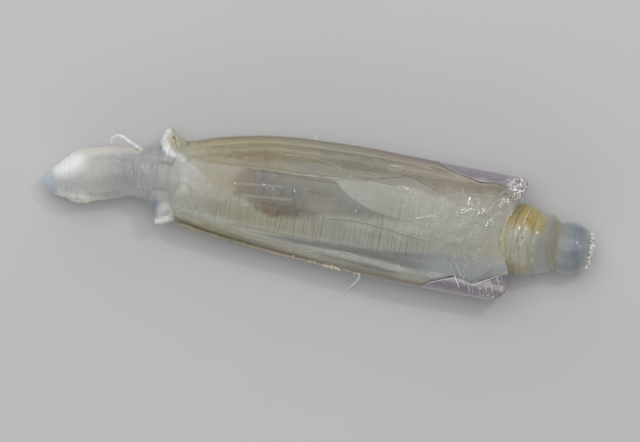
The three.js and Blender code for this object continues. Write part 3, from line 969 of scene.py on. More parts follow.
def build_sac(rows=360, sides=200):
    along = np.linspace(SAC_FRONT, SAC_REAR, rows)[:, None]
    angle = turns(sides)
    top = sac_top(along) + 0.06 * ripple(along * 1.1, 5) + 0.05 * ripple(along * 3.7, 6)
    bottom = sac_bottom(along) + 0.06 * ripple(along * 1.3, 7) + 0.05 * ripple(along * 4.1, 8)
    x = np.broadcast_to(along, (rows, sides)).copy()
    y = (top + bottom) / 2 + np.cos(angle) * (top - bottom) / 2
    half = (ventral(x) - dorsal(x)) / 2
    w = np.clip(across(x, y) * half / (half - SNUG), -1, 1)
    room = arch_height(x, w, SNUG) * sac_depth(x)
    full = np.maximum(ease(13, 17, x), ease(0.2, -0.4, np.cos(angle)))
    fullness = mix(0.55, 0.26, full)  # the lower, the fuller its edges
    own = sac_depth(x) * (CROWN - SNUG) * np.abs(np.sin(angle)) ** fullness
    height = np.minimum(room, own)
    x = x + 1.1 * ease(25.5, 28.3, x) * np.abs(np.cos(angle)) ** 5
    rings = np.stack([x, y, MEETING + np.sign(np.sin(angle)) * height], -1)
    sag = 0.1 * lumps(rings, 4.0, 3) - 0.09 + 0.03 * lumps(rings, 0.9, 4)
    slack = ease(15, 24, x) * ease(9.5, 5.5, np.abs(y)) * 0.12 * lumps(rings, 2.2, 21)
    trough = -0.28 * np.exp(-((y + 7.0 + 0.02 * x) / 0.55) ** 2) * ease(-24, -14, x) * ease(20, 12, x)
    trough -= 0.22 * np.exp(-((y - 4.4) / 0.4) ** 2) * ease(-25, -20, x) * ease(2, -4, x)
    return sack("body_sac", rings + outward(rings) * (sag + slack + trough)[..., None])


body_sac = build_sac()

# %% [markdown]
# ## Painting what shows through
#
# The body has a milky front, an olive band along the belly, dark gut with rust at its ends and a pale
# gill behind it. A blue-grey band by the hinge is painted shade, and painted light brightens the rear
# corners and the low rear half, where the body's sides slope away from the lamps. Organs with an edge are
# cut out between two contours, and the soft ones are spots. The membrane edges are laid along some of the
# contours later.

# %% Contours of the organs
FRONT_EDGE = [
    (-50, -29.5), (-8, -28.6), (-6, -26.8), (-4, -24.9), (-2, -24.1), (-0.5, -24.4), (1, -25.2), (1.8, -26.1),
    (3, -28.2), (3.5, -30), (4, -32), (4.8, -33.3), (6, -34.2), (50, -34.5)]
UPPER_SEAM = [
    (-50, 3.4), (-26, 3.75), (-18, 4.15), (-9.3, 4.45), (-4, 4.75), (-0.7, 5.1), (3.5, 5.2), (6.5, 5.1),
    (9, 5.45), (12, 4.95), (15, 5), (18, 5.9), (22, 6.4), (28, 6.8), (50, 7)]
MEMBRANE_TOP = [(-50, 4), (1, 5.2), (4.5, 6.1), (7.5, 6.85), (8.7, 7.4), (10.5, 7.1), (14.9, 5.6), (16, 4.8),
                (50, 3)]
GILL_EDGE = [(-50, 5), (-3.6, 4.6), (-1, 2.8), (2.2, 1.2), (5.2, 0.3), (7.8, -0.1), (11, -0.4), (50, -1)]
GUT_FLOOR = [
    (-50, 0.4), (-22, -0.3), (-18, -1.2), (-15, -2.6), (-12, -3.1), (-9, -2.7), (-4, -2), (0, -1.5),
    (4, -0.9), (8, -0.4), (50, 0)]
BLUE_TOP = [(-50, -6.2), (-20, -6.5), (-8, -6.55), (2, -6.35), (9, -6), (15, -5.3), (24, -4.6), (50, -4)]
BLUE_FLOOR = [(-50, -6.6), (-20, -6.9), (-8, -7.45), (2, -7.55), (9, -8), (15, -9), (24, -9.5), (50, -9)]

# %% Body finish
CREAM, PEARL = (158, 158, 147), (166, 167, 159)
OLIVE, STRAW, ROSE = (128, 117, 80), (147, 138, 104), (143, 128, 116)
SHADE_BLUE_GREY, NAVY = (104, 110, 116), (82, 84, 88)

net = new_material("body_tissue", Roughness=0.32, Subsurface_Weight=0.2, Subsurface_Scale=0.0008,
                   Coat_Roughness=0.08, Specular_IOR_Level=0.5, Subsurface_Radius=(1.0, 0.9, 0.75))
place, x, y, (true_x, true_y, _) = warped_place(net, 0.16, 0.6)
spot, line = marks(net, x, y)
long_streaks = net.noise(net.stretch(place, 0.06, 1.6, 0.3), 1, 5, 0.62)
cross_streaks = net.noise(net.stretch(place, 2.6, 0.16, 0.2), 1, 4, 0.62)
cross_streaks = net.add(net.times(net.add(cross_streaks, -0.47), net.step(true_x, 20, 14)), 0.47)
clouds = net.noise(place, 0.3, 4, 0.6)


def above(contour, soft=0.15):
    """A mask that is 1 on the belly side of a contour."""
    return net.step(net.minus(y, net.curve(x, contour)), -soft, soft)


def under(contour, soft=0.15):
    return net.minus(1, above(contour, soft))


net.colour = net.between(clouds, 0.35, 0.68, CREAM, PEARL)
net.paint(net.step(true_y, -2.5, -6.5), (182, 187, 181), 0.75)
net.paint(spot(-13, -4.4, 10, 2, -3, 0.5), (182, 174, 150), 0.6)
net.paint(net.step(cross_streaks, 0.5, 0.66), (128, 130, 122), 0.35)
net.paint(net.step(cross_streaks, 0.44, 0.34), (176, 177, 168), 0.3)

gut = net.times(under(UPPER_SEAM, 0.2), under(GILL_EDGE, 0.22), above(GUT_FLOOR, 0.9))
gut = net.times(gut, net.step(x, -21.5, -16))
net.paint(gut, net.between(cross_streaks, 0.42, 0.6, (76, 76, 66), (90, 90, 80)), 0.92)
net.paint(net.times(gut, spot(-9, 3.9, 8.5, 1.5, 3, 0.7)), (106, 103, 90), 0.75)
net.paint(net.times(gut, spot(2.5, 0.9, 4.5, 0.9, -22, 0.7)), (114, 118, 110), 0.45)
_, rough_x, rough_y, _ = warped_place(net, 1.6, 0.7)
blot, _ = marks(net, rough_x, rough_y)
net.paint(blot(-14.2, 1.25, 5.8, 2.25, -4, 0.4),
          net.between(cross_streaks, 0.4, 0.56, (46, 46, 52), (74, 74, 76)), 0.9)
dabs(net, blot, (
    (-12.4, -1.5, 4.2, 1.6, -8, 0.5, (72, 69, 64), 0.85),
    (-18.6, 1.1, 2, 2, 10, 0.6, (100, 70, 44), 0.95),
    (-13.4, -2.65, 2.2, 0.8, -16, 0.8, (124, 96, 70), 0.75)))
dabs(net, spot, (
    (-22.3, 1.2, 3.2, 2.6, 0, 0.7, (156, 142, 106), 0.45),
    (-5, -0.6, 2.2, 1.6, 0, 0.8, (146, 132, 122), 0.4)))
dabs(net, line, (
    (-19.2, 1.15, -11.8, 1.85, 0.4, 0.9, (160, 162, 158), 0.35),
    (-18.4, -0.75, -10, -0.15, 0.45, 0.9, (164, 162, 150), 0.4)))
gill = net.times(above(GILL_EDGE, 0.2), under(UPPER_SEAM, 0.3))
net.paint(net.times(gill, net.step(x, 14, 6)), (148, 151, 143), 0.6)

belly_band = above(UPPER_SEAM, 0.2)
olive = net.between(long_streaks, 0.38, 0.64, OLIVE, STRAW)
olive = net.blend(net.step(x, -16, 0), olive,
                  net.between(long_streaks, 0.4, 0.62, (108, 103, 84), (128, 122, 102)))
olive = net.blend(net.step(x, -22, -30), olive, (160, 158, 138))
net.paint(belly_band, olive, 0.95)
net.paint(net.times(belly_band, spot(-8.8, 5.9, 3.9, 1.1, -4, 0.7)), (108, 102, 94), 0.75)
net.paint(net.times(belly_band, spot(-16.6, 5.7, 4, 1.7, 8, 0.8)), (116, 97, 64), 0.85)
net.paint(net.times(above(MEMBRANE_TOP, 0.12), net.step(x, 2.5, 7)),
          net.between(long_streaks, 0.4, 0.62, (140, 129, 112), (147, 138, 122)), 0.8)
net.paint(net.times(belly_band, net.step(x, 12, 19)), ROSE, 0.75)
net.paint(net.times(under(MEMBRANE_TOP, 0.1), belly_band, net.step(x, 0, 3)), (138, 136, 121), 0.85)
# Painted highlight: a pale pinkish-cream streak on the belly band.
net.paint(spot(11.5, 4.75, 3.2, 0.6, -10, 0.6), (182, 168, 150), 0.5)

# Painted shade: a blue-grey band between the gill's edge and the mantle's lower edge on the hinge side.
# Behind x 9 it turns lighter, as painted light against the shade of the body's sloping side.
blue = net.times(above(BLUE_FLOOR, 0.3), under(BLUE_TOP, 0.45), net.step(x, -17, -8))
net.paint(blue, net.between(x, 9, 17, SHADE_BLUE_GREY, (150, 157, 163)), 0.85)
hinge_strip = net.times(net.step(true_y, -9, -9.7), net.times(net.step(x, -1, 4), net.step(x, 12, 9)))
net.paint(hinge_strip, (86, 78, 77), 0.85)
# Painted light: a pale spot on the hinge edge near the rear, against the shade where the body's side slopes
# away.
net.paint(spot(14, -9.8, 4, 0.9, 0, 0.6), (180, 182, 178), 0.6)
net.paint(net.times(net.step(true_y, 8.6, 10.2), net.step(true_x, 14, 4)), (92, 78, 60), 0.4)
dabs(net, line, (
    (-3, -8.9, 7, -9.3, 0.55, 0.7, (112, 115, 112), 0.6),
    (-24.2, -6.95, -17.4, -8.1, 0.36, 0.6, NAVY, 0.95),
    (-17.4, -8.1, -10.8, -8.75, 0.3, 0.7, (98, 99, 88), 0.8),
    (-29, -6.9, -16, -9.2, 0.3, 0.8, (176, 164, 124), 0.5)))

# Painted light along the body's edges at both rear corners, where its sides slope away from the lamps into
# shade.
lit_hinge_corner = net.minus(true_y, net.curve(true_x, HINGE_CLEAR))
lit_hinge_corner = net.times(net.step(lit_hinge_corner, 1, 0.2), net.step(true_x, 14, 16.5))
net.paint(lit_hinge_corner, (222, 226, 222), 0.9)
lit_belly_corner = net.minus(net.curve(true_x, BELLY_CLEAR), true_y)
lit_belly_corner = net.times(net.step(lit_belly_corner, 1, 0.2), net.step(true_x, 13, 15.5))
net.paint(lit_belly_corner, (218, 202, 186), 0.9)
fan = net.times(spot(25.5, -0.2, 9.5, 6.2, 0, 0.35), net.step(true_x, 16, 23))
net.paint(fan, (178, 177, 167), 0.75)
net.paint(spot(26.6, -2.8, 2.6, 3, 0, 0.6), (180, 177, 160), 0.7)
# Painted light low on the rear half, where the body's side slopes away from the lamps and would be shaded.
lit_rear_low = net.times(spot(21.5, -7.2, 8, 2.6, 8, 0.5), net.step(true_x, 13, 18))
net.paint(lit_rear_low, (174, 180, 184), 0.7)
edge_x = net.curve(y, FRONT_EDGE)
past = net.minus(x, edge_x)
low_down = net.step(true_y, 2.2, -0.5)
front = net.add(net.times(net.step(past, 2.2, -1.4), low_down),
                net.times(net.step(past, 0.3, -0.3), net.minus(1, low_down)))
front = net.times(front, net.step(true_y, -8.6, -5, 0.6, 1))
net.paint(front, net.between(clouds, 0.35, 0.6, (168, 169, 163), (178, 178, 173)), 0.85)
from_edge = net.absolute(net.minus(x, net.add(edge_x, -0.6)))
lit_edge = net.times(net.step(from_edge, 1.1, 0.15), net.step(true_y, 0, 3))
net.paint(lit_edge, (184, 185, 179), 0.5)
net.paint(net.step(true_x, -28.5, -33), (138, 140, 137), 0.75)
net.paint(line(-33.6, 5.1, -29.8, 3.7, 0.9, 0.9), (214, 216, 214), 0.6)
flecks = net.step(net.noise(place, 1.3, 4, 0.7), 0.5, 0.6)
net.paint(net.times(spot(-27.6, -5.2, 3, 1.5, 6, 0.7), flecks), (128, 134, 134), 0.45)
net.paint(net.times(spot(-28.5, -2.2, 4.5, 2.6, 0, 0.9), net.step(clouds, 0.5, 0.62)), (192, 192, 186), 0.3)
for at_x, at_y, size in ((-30.7, -0.45, 0.13), (-27.9, 4.45, 0.14), (0.0, -4.65, 0.12), (-24.9, -0.9, 0.1)):
    net.paint(spot(at_x, at_y, size, size, 0, 0.6), (92, 82, 60), 0.8)
veins = net.absolute(net.add(net.noise(place, 0.45, 5, 0.65, 0.4), -0.5))
net.paint(net.step(veins, 0.014, 0), (206, 206, 192), 0.2)
net.finish(body_sac, Coat_Weight=net.step(clouds, 0.3, 0.7, 0.3, 0.7),
           Normal=net.bump(net.add(cross_streaks, long_streaks), 0.3, 0.00025))

# %% [markdown]
# ## The foot
#
# The foot is one long muscle, slack now, which has sunk onto the floor. Two outlines, belly side and
# hinge side, are walked from the tip at the same pace, and every pair of points is the width of one oval
# ring. Fine cross wrinkles and a frayed patch make it flesh.

# %% Foot
foot_top = outline([
    (-53.6, -4.1), (-53.3, -3), (-52.4, -1.8), (-51, -0.3), (-49.5, 1.4), (-48.4, 2.3), (-46.5, 2.95),
    (-43, 3.9), (-40.5, 4.15), (-38, 4.45), (-35, 4.9), (-31, 4.6), (-28, 4)])
foot_bottom = outline([
    (-53.6, -4.3), (-53.2, -5), (-52, -5.9), (-50.5, -6.35), (-49, -6.5), (-47.6, -6.85), (-45.6, -6.75),
    (-44, -6.1), (-41, -5.25), (-38.5, -4.35), (-37, -4.3), (-35, -4.5), (-31, -5.2), (-28, -4.9)])
foot_thick = profile([
    (-54, 0.3), (-53.2, 1.5), (-52, 2.6), (-50.5, 3.5), (-47, 4.3), (-42, 4.15), (-36, 4.1), (-33.2, 4.15),
    (-31, 3.9), (-28, 3.4)])
foot_height = profile([
    (-54, 3.1), (-50, 3.6), (-46, 4.2), (-41, 4.15), (-36, 5), (-33, 5.7), (-30, 5.85), (-25, 5.85)])


def build_foot(rows=300, sides=150):
    share = np.linspace(0, 1, rows) ** 1.5
    top, bottom = foot_top(share), foot_bottom(share)
    middle, arm = (top + bottom) / 2, (top - bottom) / 2
    reach = np.linalg.norm(arm, axis=1, keepdims=True)
    arm = arm / np.maximum(reach, 1e-6) * np.maximum(reach, 0.06)
    x = middle[:, 0]
    angle = turns(sides)
    cosine, sine = np.cos(angle), np.sin(angle)
    flat = middle[:, None] + arm[:, None] * (np.sign(cosine) * np.abs(cosine) ** 0.9)[None, :, None]
    thick = np.minimum(foot_thick(x), reach[:, 0] * 3 + 0.1)[:, None]
    height = foot_height(x)[:, None] + thick * sine
    rings = np.concatenate([flat, height[..., None]], -1)
    fade = ease(0.0, 0.06, share)[:, None] * mix(1.0, 0.3, ease(-37, -33, x))[:, None]
    skewed = rings[..., 0] + 0.25 * rings[..., 1]
    wrinkle = 0.03 * ripple(skewed * 2.1, 41) + 0.018 * ripple(skewed * 5.2, 42)
    frayed = np.exp(-((rings[..., 0] + 47.2) / 1.9) ** 2 - ((rings[..., 1] + 6.7) / 0.9) ** 2)
    relief = wrinkle + 0.08 * lumps(rings, 3.0, 5) + 0.03 * lumps(rings, 0.6, 6)
    relief += frayed * 0.3 * lumps(rings, 0.35, 7)
    rings = rings + outward(rings) * (relief * fade)[..., None]
    rings[..., 2] = np.maximum(rings[..., 2], 0.0)
    return sack("foot_muscle", rings)


foot = build_foot()

# %% Foot finish
net = new_material("foot_tissue", Roughness=0.34, Subsurface_Weight=0.4, Subsurface_Scale=0.0014,
                   Coat_Roughness=0.1, Sheen_Weight=0.25, Sheen_Roughness=0.35,
                   Subsurface_Radius=(0.95, 0.95, 1.0))
place, x, y, (true_x, _, true_z) = warped_place(net, 0.5)
spot, line = marks(net, x, y)
clouds = net.noise(place, 0.35, 4, 0.6)
wrinkles = net.noise(net.stretch(place, 2.4, 0.35, 0.35), 1, 4, 0.6)
speckle = net.noise(place, 2.4, 4, 0.7)
bands = net.noise(net.stretch(place, 4.5, 0.7, 0.5), 1, 3, 0.6)
net.colour = net.between(clouds, 0.35, 0.68, (151, 153, 154), (162, 163, 162))
net.paint(net.step(wrinkles, 0.52, 0.66), (140, 146, 150), 0.25)
net.paint(net.step(bands, 0.46, 0.36), (178, 180, 180), 0.35)
net.paint(net.step(bands, 0.56, 0.66), (134, 138, 142), 0.25)
net.paint(net.step(true_x, -40.5, -44.5), (178, 179, 173))
net.paint(net.step(true_x, -44.5, -47.5), (180, 181, 180))
# Painted highlights: a bright spot at the tip, and bright strokes along the tip's upper-left edge and along
# the upper edge of the foot.
net.paint(spot(-49.8, -0.4, 3.6, 2.2, 45, 0.8), (248, 249, 248), 0.95)
dabs(net, line, (
    (-51.5, -1.4, -48.4, 1.6, 1, 0.9, (240, 242, 243), 0.8),
    (-48.8, 1.9, -38, 4.1, 1.3, 0.9, (214, 210, 200), 0.8)))
# Painted highlights along the foot's lower edge, stronger higher up the foot and broken up by noise.
upper = net.times(net.step(true_z, 1, 4.6, 0.25, 1),
                  net.step(net.noise(place, 0.6, 3, 0.6, 0.5), 0.3, 0.6, 0.6, 1))
for *numbers, shade, strength in (
        (-50, -5.8, -45.4, -6.3, 1.6, (238, 238, 230), 0.9),
                                  (-47, -6.4, -43.4, -5.9, 1.3, (232, 231, 223), 0.5),
        (-45, -6.4, -42.4, -5.6, 0.9, (206, 202, 192), 0.5),
                                  (-43.6, -5.9, -39.2, -4.7, 1.2, (202, 199, 190), 0.4)):
    net.paint(net.times(line(*numbers, 1), upper), shade, strength)
# The second of these spots, bluish white at the very tip, is a painted highlight.
dabs(net, spot, (
    (-50.3, -4.4, 3, 1.6, 10, 0.7, (176, 180, 182), 0.6),
    (-53, -4.1, 1.3, 1.9, 0, 0.6, (186, 198, 212), 0.85),
    (-38, -3.6, 2.2, 0.7, 8, 0.7, (184, 186, 184), 0.5)))
# Painted glints: fine white specks, the sparkle of a wet surface.
net.paint(net.step(speckle, 0.6, 0.68), (240, 240, 234), 0.4)
net.paint(net.step(true_x, -35.5, -31), (167, 168, 163))
net.paint(line(-33.2, 4.2, -31.5, 3.4, 1, 0.95), (208, 210, 209), 0.5)
net.finish(foot, Coat_Weight=net.step(speckle, 0.4, 0.6, 0.2, 0.6),
           Normal=net.bump(net.add(wrinkles, bands, net.times(speckle, 0.8)), 0.4, 0.0003))

# %% [markdown]
# ## The collar
#
# Where the foot leaves the shell, the edge of the mantle is torn and curled back into two white flaps,
# with only a thin lip over the foot itself. So the collar is a ring with three sections, which blend as
# the ring goes round. Each section is a closed loop of x and distance from the foot's axis.

# %% Collar
BELLY_FLAP = [
    (-33.6, 4), (-34.15, 5.3), (-34.15, 6.6), (-33.8, 7.8), (-33.2, 8.5), (-32.5, 8.75), (-31.8, 8),
    (-31, 7.5), (-30, 7.1), (-28.8, 6.5), (-29.2, 5), (-31.5, 3.9)]
HINGE_FLAP = [
    (-35.4, 4), (-34.7, 4.6), (-34, 5.3), (-33.55, 6.2), (-33.25, 7.1), (-33, 8), (-32.2, 8.35),
    (-31.2, 7.95), (-30.3, 7.5), (-29.3, 7), (-29.2, 5.6), (-31, 4.4), (-33.8, 3.9)]
LIP = [
    (-34, 4.3), (-33.9, 4.42), (-33.7, 4.5), (-33.4, 4.55), (-33.1, 4.58), (-32.7, 4.6), (-32.3, 4.6),
    (-31.9, 4.55), (-31.5, 4.4), (-32.2, 4.2), (-33.2, 4.15)]


def loop(points, count):
    """A smooth closed loop through points."""
    ends = np.array(points[-2:] + points + points[:2], float)
    line = spline(ends)[2 * 24:-2 * 24]
    length = np.concatenate([[0], np.cumsum(np.linalg.norm(np.diff(line, axis=0), axis=1))])
    at = np.linspace(0, length[-1], count, endpoint=False)
    return np.stack([np.interp(at, length, line[:, k]) for k in (0, 1)], -1)


def build_collar(round_=320, section=110):
    turn = turns(round_)[:, None]
    belly_side = (np.clip(np.cos(turn), 0, 1) ** 5)[..., None]
    hinge_side = (np.clip(-np.cos(turn), 0, 1) ** 4)[..., None]
    lip, belly_flap, hinge_flap = (loop(shape, section)[None] for shape in (LIP, BELLY_FLAP, HINGE_FLAP))
    flap = (belly_side + hinge_side)[..., 0]
    places = lip * (1 - belly_side - hinge_side) + belly_flap * belly_side + hinge_flap * hinge_side
    x = places[..., 0] + 0.16 * ripple(turn * 4, 52) * (0.3 + flap)
    out = places[..., 1]
    y = np.cos(turn) * out
    z = MEETING + np.sin(turn) * (out * (mix(0.97, 0.82, flap) - 0.14 * hinge_side[..., 0]))
    rings = np.stack([x, y, z], -1)
    tips = ease(5.6, 7.6, np.abs(rings[..., 1]))
    relief = (0.1 * lumps(rings, 1.5, 8) + 0.09 * lumps(rings, 0.5, 9)) * (0.12 + flap)
    relief = relief + tips * (0.16 * lumps(rings, 0.4, 10) - 0.1 * np.abs(ripple(turn * 22, 53)))
    return rings + outward(rings) * relief[..., None]


def ring_mesh(name, rings):
    """A closed mesh from rings that go all the way round, like a tyre."""
    n, m, _ = rings.shape
    number = np.arange(n * m).reshape(n, m)
    number = np.vstack([number, number[:1]])
    number = np.hstack([number, number[:, :1]])
    faces = [q for i in range(n) for q in strip(number[i].tolist(), number[i + 1].tolist())]
    return add_mesh(name, rings.reshape(-1, 3), faces)


collar = ring_mesh("mantle_collar", build_collar())

# %% Collar finish
net = new_material("collar_tissue", Roughness=0.36, Subsurface_Weight=0.4, Subsurface_Scale=0.0009,
                   Coat_Roughness=0.12, Sheen_Weight=0.2, Sheen_Roughness=0.4,
                   Subsurface_Radius=(0.95, 0.95, 1.0))
place, x, y, (true_x, true_y, _) = warped_place(net, 0.5, 0.9)
spot, line = marks(net, x, y)
tears = net.noise(place, 1.6, 5, 0.7)
net.colour = net.between(tears, 0.35, 0.65, (164, 166, 164), (174, 176, 173))
white = net.between(tears, 0.35, 0.65, (214, 218, 220), (244, 246, 247))
for rope in ((-33.3, 8.6, -33.9, 6.2, 1.0), (-33.9, 6.3, -32.5, 4.7, 1.0), (-32.6, 4.8, -29.6, 3.7, 0.9)):
    net.paint(line(*rope, 0.8), white)
inside = net.times(spot(-31, 6.6, 2, 1.9, -25, 0.5), 0.8)
net.paint(inside, net.between(true_x, -32.2, -30.6, (208, 202, 182), (164, 159, 140)))
net.paint(net.times(net.step(tears, 0.46, 0.6), inside), (186, 172, 134))
net.paint(net.step(true_y, -1, -2.4), (172, 175, 172))
blue_margin = net.times(net.step(true_y, -3.8, -4.6),
                        net.step(net.add(true_x, net.times(true_y, -0.42)), -30.2, -31))
net.paint(net.times(blue_margin, net.step(tears, 0.3, 0.6, 1, 0.5)), (128, 143, 162))
net.paint(line(-31.8, -4.9, -32.1, -7.6, 0.8, 0.9), (200, 204, 204), 0.6)
net.paint(net.times(line(-32.4, -7.8, -30.4, -6.9, 0.9, 0.8), net.step(tears, 0.3, 0.6, 0.6, 1)),
          (240, 242, 240))
net.paint(spot(-31.4, -5.1, 0.8, 0.7, 0, 0.8), (216, 218, 216), 0.7)
# Lighter paint at the hinge flap's rear end: the pale tissue there, and painted light against the shade where
# the flap's surface bends down.
net.paint(net.times(net.step(true_x, -30.9, -29.9), net.step(true_y, 0, -2)), (206, 205, 196))
net.paint(net.times(line(-32.3, 7, -31.4, 6.6, 0.26, 0.9), net.step(tears, 0.42, 0.5)), (120, 86, 44))
net.paint(line(-31.9, 7.2, -31.3, 5.9, 0.2, 0.9), (134, 98, 54), 0.6)
thin = net.most(net.step(true_y, 2, 3.6), net.step(true_y, -1.8, -3.2))
# Painted light where the collar is half see-through, making up for the shade its layers cast on each other.
fading = net.times(thin, net.minus(1, thin))
net.paint(fading, (250, 250, 246), 1.3)
into_shell = net.step(true_x, -28.6, -30.4)
net.finish(collar,
           Alpha=net.times(net.add(0.01, net.times(thin, 0.99)), net.add(0.15, net.times(into_shell, 0.85))),
           Coat_Weight=net.step(tears, 0.4, 0.6, 0.2, 0.6), Normal=net.bump(tears, 0.5, 0.0004))

# %% [markdown]
# ## The siphon and its skin
#
# The siphon is a pair of breathing tubes grown together. Its base wears a loose skin in swollen segments,
# rolled up at the shell end, and the bare end is a bluish bulb beyond a tight waist. One set of outlines
# gives both pieces their form.

# %% Siphon outlines
siphon_top = profile([
    (26, 4.4), (27.3, 5.2), (28.5, 5.85), (29.9, 6.15), (31.2, 6.05), (33, 5.5), (34.4, 5.2), (35.4, 5.2),
    (36.5, 4.7), (37.2, 4.15), (37.5, 3.95), (38.4, 4.35), (39.8, 4.4), (41.3, 4.05), (42.3, 3.4),
    (42.95, 2.6), (43.2, 2)])
siphon_bottom = profile([
    (26, -4.4), (27.3, -5.2), (28.5, -5.8), (30, -6.1), (31.2, -6.2), (32.5, -6.05), (34, -5.6), (36, -4.95),
    (37.1, -4.4), (37.4, -4.3), (38.2, -4.6), (39.4, -4.8), (41, -4.3), (42.2, -3.4), (42.8, -2.8),
    (43.2, -2.2)])
siphon_thick = profile([
    (26, 3.9), (28, 4.1), (30.3, 4.45), (33, 4.75), (36, 4.4), (37.45, 3.75), (39.5, 4.15), (41.6, 3.95),
    (42.6, 3.1), (43.2, 1.9)])
siphon_height = profile([(26, 5.85), (30.3, 5.7), (34, 4.95), (37.5, 4.3), (43.2, 4.2)])
SLEEVE_START, SLEEVE_END = 28.1, 37.45
SEGMENT_ENDS = (28.1, 28.85, 29.75, 31.4, 33.6, 37, 37.6)  # where the skin is drawn in, seen at the sides


def siphon_rings(along, sides):
    """Oval rings of the siphon at each x of along."""
    angle = turns(sides)
    x = np.broadcast_to(along[:, None], (len(along), sides))
    top, bottom = siphon_top(x), siphon_bottom(x)
    y = (top + bottom) / 2 + np.cos(angle) * (top - bottom) / 2
    z = siphon_height(x) + np.sin(angle) * siphon_thick(x)
    return np.stack([x, y, z], -1), angle


def bowed(x, angle):
    """How far a ring of the skin runs forwards over the top and the underside, more at the shell end."""
    middle = np.sin(angle) ** 2
    return -1.15 * middle + np.clip((31 - x) / 3, 0, 1) * (1.1 * np.abs(np.cos(angle)) ** 3)


# %% Siphon
def build_siphon(sides=140):
    along = np.concatenate([np.linspace(26.2, 42.4, 130), 42.4 + 0.8 * np.sin(np.linspace(0.05, 1.5, 22))])
    rings, angle = siphon_rings(along, sides)
    hidden = ease(SLEEVE_END + 0.5, SLEEVE_END - 0.9, rings[..., 0])[..., None]
    centre = rings.mean(axis=1, keepdims=True)
    rings = mix(rings, centre, 0.09 * hidden)
    relief = 0.06 * lumps(rings, 1.8, 12) + 0.03 * lumps(rings, 0.5, 13)
    ragged = ease(41.4, 42.6, rings[..., 0])
    relief += ragged * (0.1 * ripple(angle * 9, 62) + 0.08 * lumps(rings, 0.4, 17))
    rings = rings + outward(rings) * relief[..., None]
    last = rings[-1]
    middle = last.mean(0)
    lids = []
    for share in (0.85, 0.7, 0.55, 0.4, 0.2):
        lid = mix(middle, last, share)
        pits = sum(np.exp(-(((lid[:, 1] - at) / 0.75) ** 2 + ((lid[:, 2] - 4.2) / 0.6) ** 2))
                   for at in (-1.1, 1.1))
        lids.append(lid + np.stack([0.12 * (1 - share) - 0.9 * pits, 0 * pits, 0 * pits], -1))
    rings = np.concatenate([rings, np.array(lids)])
    rings[..., 2] = np.maximum(rings[..., 2], 0.0)
    return sack("siphon_bulb", rings)


siphon = build_siphon()


# %% Siphon skin
def build_sleeve(rows=230, sides=200, wall=0.28):
    along = np.linspace(0, 1, rows)[:, None]
    x = mix(SLEEVE_START, SLEEVE_END, along[:, 0])
    rings, angle = siphon_rings(x, sides)
    ends = np.array(SEGMENT_ENDS)
    number = np.clip(np.searchsorted(ends, x, side="right") - 1, 0, len(ends) - 2)
    inside = (x - ends[number]) / (ends[number + 1] - ends[number])
    width = ends[number + 1] - ends[number]
    swell = (1 - np.abs(2 * inside - 1) ** 2.6) * np.minimum(0.2, 0.1 + 0.06 * width)
    lip = 0.22 * np.exp(-(along / 0.035) ** 2)
    crinkled = ease(32.5, 28.5, x)[:, None]
    relief = swell[:, None] - 0.1 + lip + 0.05 * lumps(rings, 1.6, 14)
    relief = relief + (0.02 + 0.05 * crinkled) * lumps(rings, 0.45, 15)
    normal = outward(rings)
    outer = rings + normal * (relief * (1 - 0.6 * ease(0.93, 1.0, along)))[..., None]
    outer[..., 0] += bowed(outer[..., 0], angle) + 0.1 * ripple(angle * 3 + 0 * along, 71)
    inner = outer - normal * wall
    outer[..., 2] = np.maximum(outer[..., 2], 0.0)
    inner[..., 2] = np.maximum(inner[..., 2], wall / 2)
    return ring_mesh("siphon_sleeve", np.concatenate([outer, inner[::-1]]))


sleeve = build_sleeve()

# %% Siphon finish
net = new_material("siphon_tissue", Roughness=0.4, Subsurface_Weight=0.4, Subsurface_Scale=0.0014,
                   Coat_Roughness=0.15, Sheen_Weight=0.4, Sheen_Roughness=0.35,
                   Subsurface_Radius=(0.85, 0.95, 1.0))
place, _, _, (true_x, true_y, _) = warped_place(net, 0.4)
grain = net.noise(place, 0.8, 4, 0.6)
net.colour = net.between(grain, 0.35, 0.65, (118, 126, 132), (130, 137, 142))
net.paint(net.step(true_x, 39.5, 38), (142, 144, 140), 0.6)
net.paint(net.step(true_x, 40.8, 42.6), (160, 162, 160))
# Painted light: the siphon's sides are lighter and bluer, as where its edges catch the light.
net.paint(net.step(net.absolute(true_y), 3.2, 4.7), (150, 162, 170), 0.55)
net.paint(net.step(true_x, 37, 38, 0.8, 0), (150, 146, 128))
net.finish(siphon, Coat_Weight=net.step(grain, 0.4, 0.6, 0.1, 0.35), Normal=net.bump(grain, 0.25, 0.0003))

# %% Siphon skin finish
net = new_material("sleeve_skin", Roughness=0.36, Subsurface_Weight=0.25, Subsurface_Scale=0.0008,
                   Coat_Roughness=0.12, Sheen_Weight=0.15, Sheen_Roughness=0.4,
                   Subsurface_Radius=(1.0, 0.85, 0.6))
place, x, y, (true_x, true_y, _) = warped_place(net, 0.4, 0.8)
spot, line = marks(net, x, y)
crinkle = net.noise(net.stretch(place, 1.8, 0.5, 0.5), 1, 5, 0.65)
clouds = net.noise(place, 0.5, 4, 0.6)
net.colour = net.between(clouds, 0.35, 0.65, (145, 147, 139), (154, 156, 149))
net.paint(net.step(true_x, 33.6, 31.2), net.between(crinkle, 0.4, 0.62, (158, 155, 140), (174, 172, 159)))
rolled = net.step(net.minus(true_x, net.times(true_y, true_y, 0.06)), 28.3, 26.9)
net.paint(rolled, (198, 184, 142), 0.8)
yellow = net.step(net.add(true_y, net.times(net.add(true_x, -28), 0.2)), 1.2, 4)
yellow = net.times(yellow, net.step(true_x, 35.6, 32.8))
net.paint(yellow, net.between(crinkle, 0.4, 0.6, (168, 145, 70), (178, 160, 92)), 0.85)
net.paint(spot(28.9, 4, 0.9, 1.9, -25, 0.7), (140, 118, 64), 0.8)
